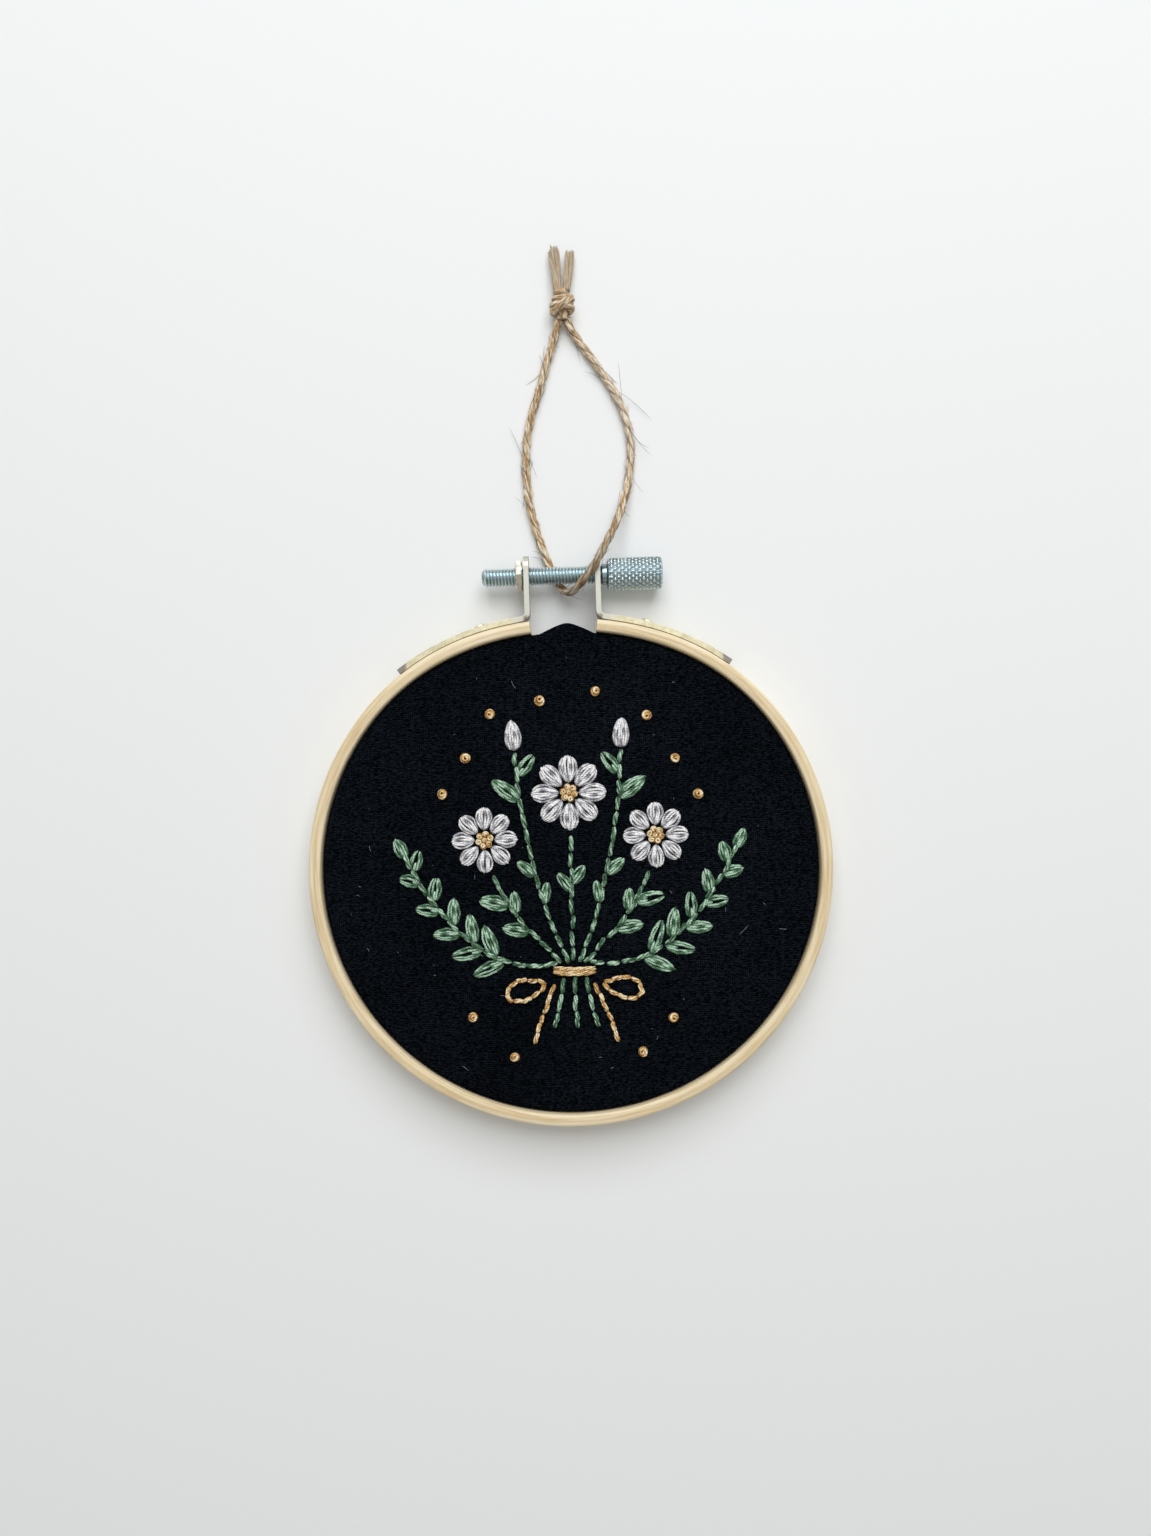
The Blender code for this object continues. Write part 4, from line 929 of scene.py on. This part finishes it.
def knot_grids(centre, size, pitch, waist):
    """The knot: three turns of the cord wound round both legs, and one turn that crosses them."""
    s = np.linspace(0, 1, 220)
    a = 2 * np.pi * 3.1 * s + 2.2
    reach = np.interp(s, (0.0, 0.40, 0.70, 1.0), (0.00195, 0.0020, 0.00150, 0.00115))
    wrap = np.column_stack([centre[0] + reach * np.cos(a), centre[1] - 0.0017 + s * 0.0040,
                            centre[2] + 0.92 * reach * np.sin(a)])
    cross = smooth_path([centre + p for p in ((-0.0021, -0.0016, 0.0004), (-0.0012, -0.0014, 0.0017),
                                              (0.0004, -0.0004, 0.0024), (0.0018, 0.0008, 0.0014),
                                              (0.0021, 0.0012, 0.0))], 14)
    core = np.column_stack([np.full(30, centre[0]), np.linspace(-0.0031, 0.0034, 30) + centre[1],
                            np.full(30, centre[2] - 0.0001)])
    return [(cord_grid(wrap, size * 0.88, pitch, waist), False),
            (cord_grid(cross, size * 0.9, pitch, waist), False),
            (cord_grid(core, size * 1.25, pitch, 0.85), False)]


def green_lines():
    """Each green piece's stem line and its leaves: base, heading, length, width."""
    fern = []
    for k in range(FERN_PAIRS):
        share = k / (FERN_PAIRS - 1)
        t = FERN_FROM + (FERN_TO - FERN_FROM) * share
        long = FERN_LONG + (FERN_SHORT - FERN_LONG) * share
        fern += [(t, 1, FERN_DEG, long, FERN_WIDE), (t + FERN_STAGGER, -1, FERN_DEG, long, FERN_WIDE)]
    fern.append((0.985, 1, 0.0, FERN_SHORT, FERN_WIDE))
    rows = []
    for side, word in ((1, "left"), (-1, "right")):
        for stem, (place, control, end) in STEMS.items():
            leaves = fern if stem == "fern" else [row[1:] for row in LEAVES if row[0] == stem]
            curve = ((-place * TIE_STEP * side, TIE_Y), (control[0] * side, control[1]),
                     (end[0] * side, end[1]))
            rows.append((f"{stem}_{word}", curve, [(t, hand * side, *rest) for t, hand, *rest in leaves]))
    t, degrees, long, wide = MID_LEAF
    rows.append(("mid_stem", ((0, TIE_Y), (0, TIE_Y / 2), (0, MID_STEM_END)),
                 [(t, 1, degrees, long, wide), (t + FERN_STAGGER, -1, degrees, long, wide)]))
    return rows


def build_greens(settings):
    """Stems in overlapping back stitch and leaves filled with lengthwise stitches, in green floss."""
    finish = floss("green stranded cotton", settings.green_dark, settings.green_mid, settings.green_light)
    rng = np.random.default_rng(11)
    front = settings.front
    for name, curve, leaves in green_lines():
        line, _ = bezier(*curve, np.linspace(0, 1, 60))
        stem = back_stitches(line, settings.stem_stitch, front, settings.thread, rng)
        grids = [(thread(stem, settings.thread, settings), False)]
        for t, hand, degrees, long, wide in leaves:
            base, along = bezier(*curve, t)
            heading = math.atan2(along[1], along[0]) + math.radians(hand * degrees)
            slit = rng.uniform(0.34, 0.50) if wide > 0.0025 and rng.uniform() < 0.5 else 1.0
            paths = leaf_stitches(base, heading, long, wide, settings.leaf_strand, front, rng,
                                  open_from=slit)
            grids.append((tubes(paths, settings.leaf_strand, settings.leaf_strand * 0.9, 7), False))
        piece(f"{name}_stitches", grids, finish, stands_for=[name])
    for word, (top_x, low_x) in STEM_ENDS.items():
        top_y, low_y = STEM_END_Y
        line, _ = bezier((top_x, top_y), (top_x, (top_y + low_y) / 2), (low_x, low_y),
                         np.linspace(0, 1, 20))
        paths = back_stitches(line, settings.stem_stitch, front, settings.thread, rng)
        piece(f"stem_end_{word}_stitches", [(thread(paths, settings.thread, settings), False)], finish,
              stands_for=[f"stem_end_{word}"])


def build_flowers(settings):
    """Daisies with petals of lengthwise stitches, their eyes of French knots, and the two buds."""
    grey = floss("silver grey stranded cotton", settings.grey_dark, settings.grey_mid, settings.grey_light)
    gold = floss("gold stranded cotton", settings.gold_dark, settings.gold_mid, settings.gold_light)
    rng = np.random.default_rng(23)
    front, strand = settings.front, settings.leaf_strand
    for word, (centre, radius) in DAISIES.items():
        grids = []
        for k in range(DAISY_PETALS):
            a = k * TURN / DAISY_PETALS
            base = (centre[0] + PETAL_ROOT * math.cos(a), centre[1] + PETAL_ROOT * math.sin(a))
            paths = leaf_stitches(base, a, radius - 0.0020, radius * 0.46, strand, front, rng, full=1.25)
            grids.append((tubes(paths, strand, strand * 0.9, 7), False))
        piece(f"daisy_{word}_stitches", grids, grey, stands_for=[f"daisy_{word}"])
        a = np.arange(EYE_KNOTS) * TURN / EYE_KNOTS + rng.uniform(0, 1)
        small = EYE_R * 0.38
        spots = np.vstack([[centre], np.column_stack([centre[0] + (EYE_R - small) * np.cos(a),
                                                      centre[1] + (EYE_R - small) * np.sin(a)])])
        knots = knot_stitches(spots, small, front, rng)
        piece(f"eye_{word}_knots", [(tubes(knots, small * 0.62, small * 0.60), False)], gold,
              stands_for=[f"eye_{word}"])
    place, control, end = STEMS["bud_stem"]
    tip, along = bezier((-TIE_STEP, TIE_Y), control, end, 1.0)
    for side, word in ((1, "left"), (-1, "right")):
        heading = math.atan2(along[1], along[0] * side)
        paths = leaf_stitches((tip[0] * side, tip[1]), heading, BUD_LONG, BUD_WIDE, strand, front, rng,
                              0.75)
        piece(f"bud_{word}_stitches", [(tubes(paths, strand, strand * 0.9, 7), False)], grey,
              stands_for=[f"bud_{word}"])


def build_gold(settings):
    """The band round the stems, the bow in back stitch and the scattered French knots, in gold floss."""
    finish = floss("ochre stranded cotton", settings.gold_dark, settings.gold_mid, settings.gold_light)
    rng = np.random.default_rng(31)
    front, wide = settings.front, settings.gold_thread
    levels = BAND_Y + np.linspace(-0.5, 0.5, 4) * (BAND_HIGH - wide * 0.8)
    starts = np.column_stack([np.full(4, -BAND_HALF), levels]) + rng.normal(0, 0.00012, (4, 2))
    ends = np.column_stack([np.full(4, BAND_HALF), levels]) + rng.normal(0, 0.00012, (4, 2))
    band = stitches(starts, ends, front, wide, -0.0003, 0.0002, 25)
    piece("tie_band_stitches", [(thread(band, wide * 0.8, settings), False)], finish,
          stands_for=["tie_band"])
    (cx, cy), a, b, tilt = BOW_LOOP
    c, s = math.cos(math.radians(tilt)), math.sin(math.radians(tilt))
    for side, word in ((1, "left"), (-1, "right")):
        t = np.linspace(0, 2 * np.pi, 90)
        u, v = a * np.cos(t), b * np.sin(t) * (1.0 - 0.35 * np.cos(t))
        loop = np.column_stack([side * (cx + u * c - v * s), cy + u * s + v * c])
        paths = back_stitches(loop, settings.gold_stitch, front, wide, rng, 0.0)
        piece(f"bow_{word}_stitches", [(thread(paths, wide, settings), False)], finish,
              stands_for=[f"bow_{word}"])
        line, _ = bezier(*((p[0] * side, p[1]) for p in BOW_TAIL), np.linspace(0, 1, 30))
        paths = back_stitches(line, settings.gold_stitch, front, wide, rng, 0.0)
        piece(f"bow_tail_{word}_stitches", [(thread(paths, wide, settings), False)], finish,
              stands_for=[f"bow_tail_{word}"])
    for k, centre in enumerate(BERRIES, start=1):
        paths = knot_stitches([centre], BERRY_R, front, rng)
        piece(f"berry_{k:02d}_knot", [(tubes(paths, BERRY_R * 0.54, BERRY_R * 0.54, 8), False)], finish,
              stands_for=[f"berry_{k:02d}"])


def build_stage(settings):
    """A plain pale floor, a large soft light from the photo's top, a weak one overhead, and the camera."""
    scene = bpy.context.scene
    paint, _, shader = new_material("matt pale board", Roughness=0.9)
    shader.inputs["Base Color"].default_value = linear(settings.floor_colour)
    half = settings.floor_half
    mesh = bpy.data.meshes.new("floor")
    corners = [(x * half, y * half, FLOOR_Z) for x, y in ((-1, -1), (1, -1), (1, 1), (-1, 1))]
    mesh.from_pydata(corners, [], [(0, 1, 2, 3)])
    mesh.materials.append(paint)
    floor = bpy.data.objects.new("floor", mesh)
    scene.collection.objects.link(floor)
    for name, place, size, power in (("key light", KEY_PLACE, KEY_SIZE, settings.key_power),
                                     ("fill light", FILL_PLACE, FILL_SIZE, settings.fill_power)):
        light = bpy.data.lights.new(name, "AREA")
        light.shape = "SQUARE"
        light.size = size
        light.energy = power
        light.color = LIGHT_COLOUR
        lamp = bpy.data.objects.new(name, light)
        lamp.location = place
        way = np.array(place) / np.linalg.norm(place)
        lamp.rotation_euler = (math.atan2(math.hypot(way[0], way[1]), way[2]), 0,
                               math.atan2(way[0], -way[1]))
        scene.collection.objects.link(lamp)
    world = bpy.data.worlds.new("soft white room")
    world.use_nodes = True
    background = world.node_tree.nodes["Background"]
    background.inputs["Color"].default_value = linear("f8f5ee")
    background.inputs["Strength"].default_value = settings.room_light
    scene.world = world
    scene.view_settings.view_transform = "Standard"
    view = bpy.data.cameras.new("camera")
    view.lens = LENS_MM
    view.sensor_width = SENSOR_MM
    camera = bpy.data.objects.new("camera", view)
    camera.location = CAMERA_PLACE
    camera.rotation_euler = (0, 0, math.radians(CAMERA_TURN_DEG))
    scene.collection.objects.link(camera)
    scene.camera = camera


def length_property(name, description, default):
    """A length in metres for a property group."""
    return bpy.props.FloatProperty(name=name, description=description, default=default, min=0.0,
                                   precision=5,
                                   subtype="DISTANCE", unit="LENGTH")


def colour_property(name, description, default):
    """An sRGB hex colour for a property group."""
    return bpy.props.StringProperty(name=name, description=description, default=default, maxlen=6)


class HoopRings(bpy.types.PropertyGroup):
    """Sizes of the two wooden rings"""
    inner_radius: length_property("Inner radius", "Inside radius of the outer ring at its sides", 0.0525)
    wall: length_property("Wall", "Radial thickness of the outer ring", 0.0025)
    depth: length_property("Depth", "Height of the outer ring", 0.0090)
    edge: length_property("Edge", "Rounding of the rings' edges", 0.0006)
    inner_wall: length_property("Inner wall", "Radial thickness of the inner ring", 0.0025)
    inner_inset: length_property("Inner inset", "How far the inner ring sits inside the outer one", 0.0016)
    inner_top: length_property("Inner top", "Height of the inner ring", 0.0066)


class HoopCloth(bpy.types.PropertyGroup):
    """Sizes and colours of the stretched cloth"""
    widest: length_property("Ring radius", "Inside radius of the outer ring at its sides", 0.0525)
    clearance: length_property("Clearance", "Clear space between cloth and outer ring", 0.0003)
    front: length_property("Front", "Height of the cloth's face", 0.0079)
    thickness: length_property("Thickness", "Thickness of the cloth", 0.0010)
    fold: length_property("Fold", "Radius of the fold over the inner ring", 0.0009)
    tail: length_property("Tail", "Height of the trimmed edge above the back", 0.0009)
    pucker: length_property("Pucker", "Depth of the puckers beside the ring", 0.00007)
    tent_rise: length_property("Tent rise", "How far the cloth bulges into the clamp gap", 0.0020)
    tent_half: length_property("Tent half width", "Half width of that bulge", 0.0058)
    tent_x: length_property("Tent offset", "How far to the right that bulge sits", 0.0007)
    pitch: length_property("Thread pitch", "Distance between threads of the weave", 0.00044)
    lint: bpy.props.IntProperty(name="Lint", description="Number of pale specks on the cloth", default=46,
                                min=1)
    # dark is also the painted shade in the gaps between the weave's threads; light is also the painted
    # highlight on the threads' crowns.
    dark: colour_property("Dark", "Colour between threads, sRGB hex", "000101")
    light: colour_property("Light", "Colour of the palest threads, sRGB hex", "282d37")


class HoopClamp(bpy.types.PropertyGroup):
    """Sizes and colours of the clamp"""
    widest: length_property("Ring radius", "Inside radius of the outer ring at its sides", 0.0525)
    screw_radius: length_property("Screw radius", "Outer radius of the thread", 0.0020)
    thread_pitch: length_property("Thread pitch", "Distance between two turns of the thread", 0.0007)
    tip_x: bpy.props.FloatProperty(name="Tip", description="Where the screw's tip is along X",
                                   default=-0.0170,
                                   precision=5, subtype="DISTANCE", unit="LENGTH")
    collar_radius: length_property("Collar radius", "Radius of the plain collar", 0.0022)
    head_x: length_property("Head start", "Where the knurled head starts along X", 0.0096)
    head_end_x: length_property("Head end", "Where the knurled head ends along X", 0.0213)
    head_radius: length_property("Head radius", "Radius of the knurled head", 0.0035)
    knurl_pitch: length_property("Knurl pitch", "Length of the knurl's diamonds", 0.00150)
    knurl_depth: length_property("Knurl depth", "Depth of the knurl's grooves", 0.00042)
    nut_flats: length_property("Nut size", "Size of the nut across its flats", 0.0063)
    nut_thick: length_property("Nut thickness", "Thickness of the nut", 0.00135)
    rivet_deg: bpy.props.FloatProperty(name="Rivet angle", description="Degrees from the clamp to a rivet",
                                       default=19.0)
    rivet_radius: length_property("Rivet radius", "Radius of a rivet's head", 0.0013)
    nickel: colour_property("Nickel", "Colour of the nut, sRGB hex", "e8e3d4")
    zinc: colour_property("Zinc", "Colour of the screw, sRGB hex", "dbeaee")


class HoopTwine(bpy.types.PropertyGroup):
    """Sizes of the jute twine"""
    diameter: length_property("Diameter", "Diameter of the twine", 0.0018)
    pitch: length_property("Pitch", "Length of one turn of the two plies", 0.0076)
    waist: bpy.props.FloatProperty(name="Waist", description="Narrow to wide radius of the section",
                                   default=0.70, min=0.3, max=1.0, subtype="FACTOR")
    hairs: bpy.props.IntProperty(name="Hairs", description="Number of loose hairs", default=520, min=1)


class HoopStitches(bpy.types.PropertyGroup):
    """Sizes and colours of the embroidery thread"""
    front: length_property("Front", "Height of the cloth's face", 0.0079)
    thread: length_property("Stem thread", "Width of the green thread in stems", 0.00105)
    leaf_strand: length_property("Leaf thread", "Width of a strand in leaves and petals", 0.00055)
    gold_thread: length_property("Gold thread", "Width of the gold thread", 0.0010)
    stem_stitch: length_property("Stem stitch", "Length of a stitch in a stem", 0.0032)
    gold_stitch: length_property("Gold stitch", "Length of a stitch in the bow", 0.0021)
    twist: length_property("Twist", "Length of one turn of a thread's strands", 0.0058)
    green_dark: colour_property("Green, dark", "Darkest green, sRGB hex", "1f4127")
    green_mid: colour_property("Green, mid", "Middle green, sRGB hex", "4f7c5a")
    green_light: colour_property("Green, light", "Lightest green, sRGB hex", "badac1")
    grey_dark: colour_property("Grey, dark", "Darkest grey, sRGB hex", "707077")
    grey_mid: colour_property("Grey, mid", "Middle grey, sRGB hex", "c4c4c9")
    grey_light: colour_property("Grey, light", "Lightest grey, sRGB hex", "ffffff")
    gold_dark: colour_property("Gold, dark", "Darkest gold, sRGB hex", "7f5520")
    gold_mid: colour_property("Gold, mid", "Middle gold, sRGB hex", "dba95f")
    gold_light: colour_property("Gold, light", "Lightest gold, sRGB hex", "fff2cc")


class HoopStage(bpy.types.PropertyGroup):
    """Floor and light"""
    floor_half: length_property("Floor half size", "Half of the floor's side", 1.5)
    floor_colour: colour_property("Floor colour", "Colour of the floor, sRGB hex", "edeff0")
    key_power: bpy.props.FloatProperty(name="Key light", description="Power of the large soft light",
                                       default=9.1, min=0.0, unit="POWER")
    fill_power: bpy.props.FloatProperty(name="Fill light", description="Power of the weak fill light",
                                        default=0.18, min=0.0, unit="POWER")
    room_light: bpy.props.FloatProperty(name="Room light", description="Strength of the white surroundings",
                                        default=0.365, min=0.0)


class HOOP_OT_rings(bpy.types.Operator):
    """Build the outer and inner ring"""
    bl_idname = "hoop.rings"
    bl_label = "Rings"

    def execute(self, context):
        build_rings(context.scene.hoop_rings)
        return {"FINISHED"}


class HOOP_OT_cloth(bpy.types.Operator):
    bl_idname = "hoop.cloth"
    bl_label = "Cloth"

    def execute(self, context):
        settings = context.scene.hoop_cloth
        made = build_cloth(settings)
        lint = build_lint(settings, np.random.default_rng(3))
        return {"FINISHED"}


class HOOP_OT_clamp(bpy.types.Operator):
    """Build the clamp's nut, rivets and thumb screw, and finish its ears"""
    bl_idname = "hoop.clamp"
    bl_label = "Clamp"

    def execute(self, context):
        build_clamp(context.scene.hoop_clamp)
        return {"FINISHED"}


class HOOP_OT_twine(bpy.types.Operator):
    """Build the loop of jute twine, its knot, ends and hairs"""
    bl_idname = "hoop.twine"
    bl_label = "Twine"

    def execute(self, context):
        build_twine(context.scene.hoop_twine)
        return {"FINISHED"}


class HOOP_OT_greens(bpy.types.Operator):
    """Stitch the stems and leaves"""
    bl_idname = "hoop.greens"
    bl_label = "Green stitches"

    def execute(self, context):
        build_greens(context.scene.hoop_stitches)
        return {"FINISHED"}


class HOOP_OT_flowers(bpy.types.Operator):
    """Stitch the daisies, their eyes and the buds"""
    bl_idname = "hoop.flowers"
    bl_label = "Flowers"

    def execute(self, context):
        build_flowers(context.scene.hoop_stitches)
        return {"FINISHED"}


class HOOP_OT_gold(bpy.types.Operator):
    """Stitch the band, the bow and the scattered knots"""
    bl_idname = "hoop.gold"
    bl_label = "Gold stitches"

    def execute(self, context):
        build_gold(context.scene.hoop_stitches)
        return {"FINISHED"}


class HOOP_OT_stage(bpy.types.Operator):
    """Set up the floor, lights and camera"""
    bl_idname = "hoop.stage"
    bl_label = "Stage"

    def execute(self, context):
        build_stage(context.scene.hoop_stage)
        return {"FINISHED"}


class HOOP_PT_panel(bpy.types.Panel):
    """Lists the operators of the hoop"""
    bl_idname = "HOOP_PT_panel"
    bl_label = "Hoop Art"
    bl_space_type = "VIEW_3D"
    bl_region_type = "UI"
    bl_category = "Hoop Art"

    def draw(self, context):
        for operator in OPERATORS:
            self.layout.operator(operator.bl_idname)


GROUPS = {
    "hoop_rings": HoopRings,
    "hoop_cloth": HoopCloth,
    "hoop_clamp": HoopClamp,
    "hoop_twine": HoopTwine,
    "hoop_stitches": HoopStitches,
    "hoop_stage": HoopStage,
}
OPERATORS = (HOOP_OT_rings, HOOP_OT_cloth, HOOP_OT_clamp, HOOP_OT_twine, HOOP_OT_greens, HOOP_OT_flowers,
             HOOP_OT_gold, HOOP_OT_stage)
CLASSES = (*GROUPS.values(), *OPERATORS, HOOP_PT_panel)


def register():
    for made in CLASSES:
        bpy.utils.register_class(made)
    for name, group in GROUPS.items():
        setattr(bpy.types.Scene, name, bpy.props.PointerProperty(type=group))


def unregister():
    for name in GROUPS:
        delattr(bpy.types.Scene, name)
    for made in reversed(CLASSES):
        bpy.utils.unregister_class(made)


def main():
    register()
    bpy.ops.hoop.rings()
    bpy.ops.hoop.cloth()
    bpy.ops.hoop.clamp()
    bpy.ops.hoop.twine()
    bpy.ops.hoop.greens()
    bpy.ops.hoop.flowers()
    bpy.ops.hoop.gold()
    bpy.ops.hoop.stage()


if __name__ == "__main__":
    main()
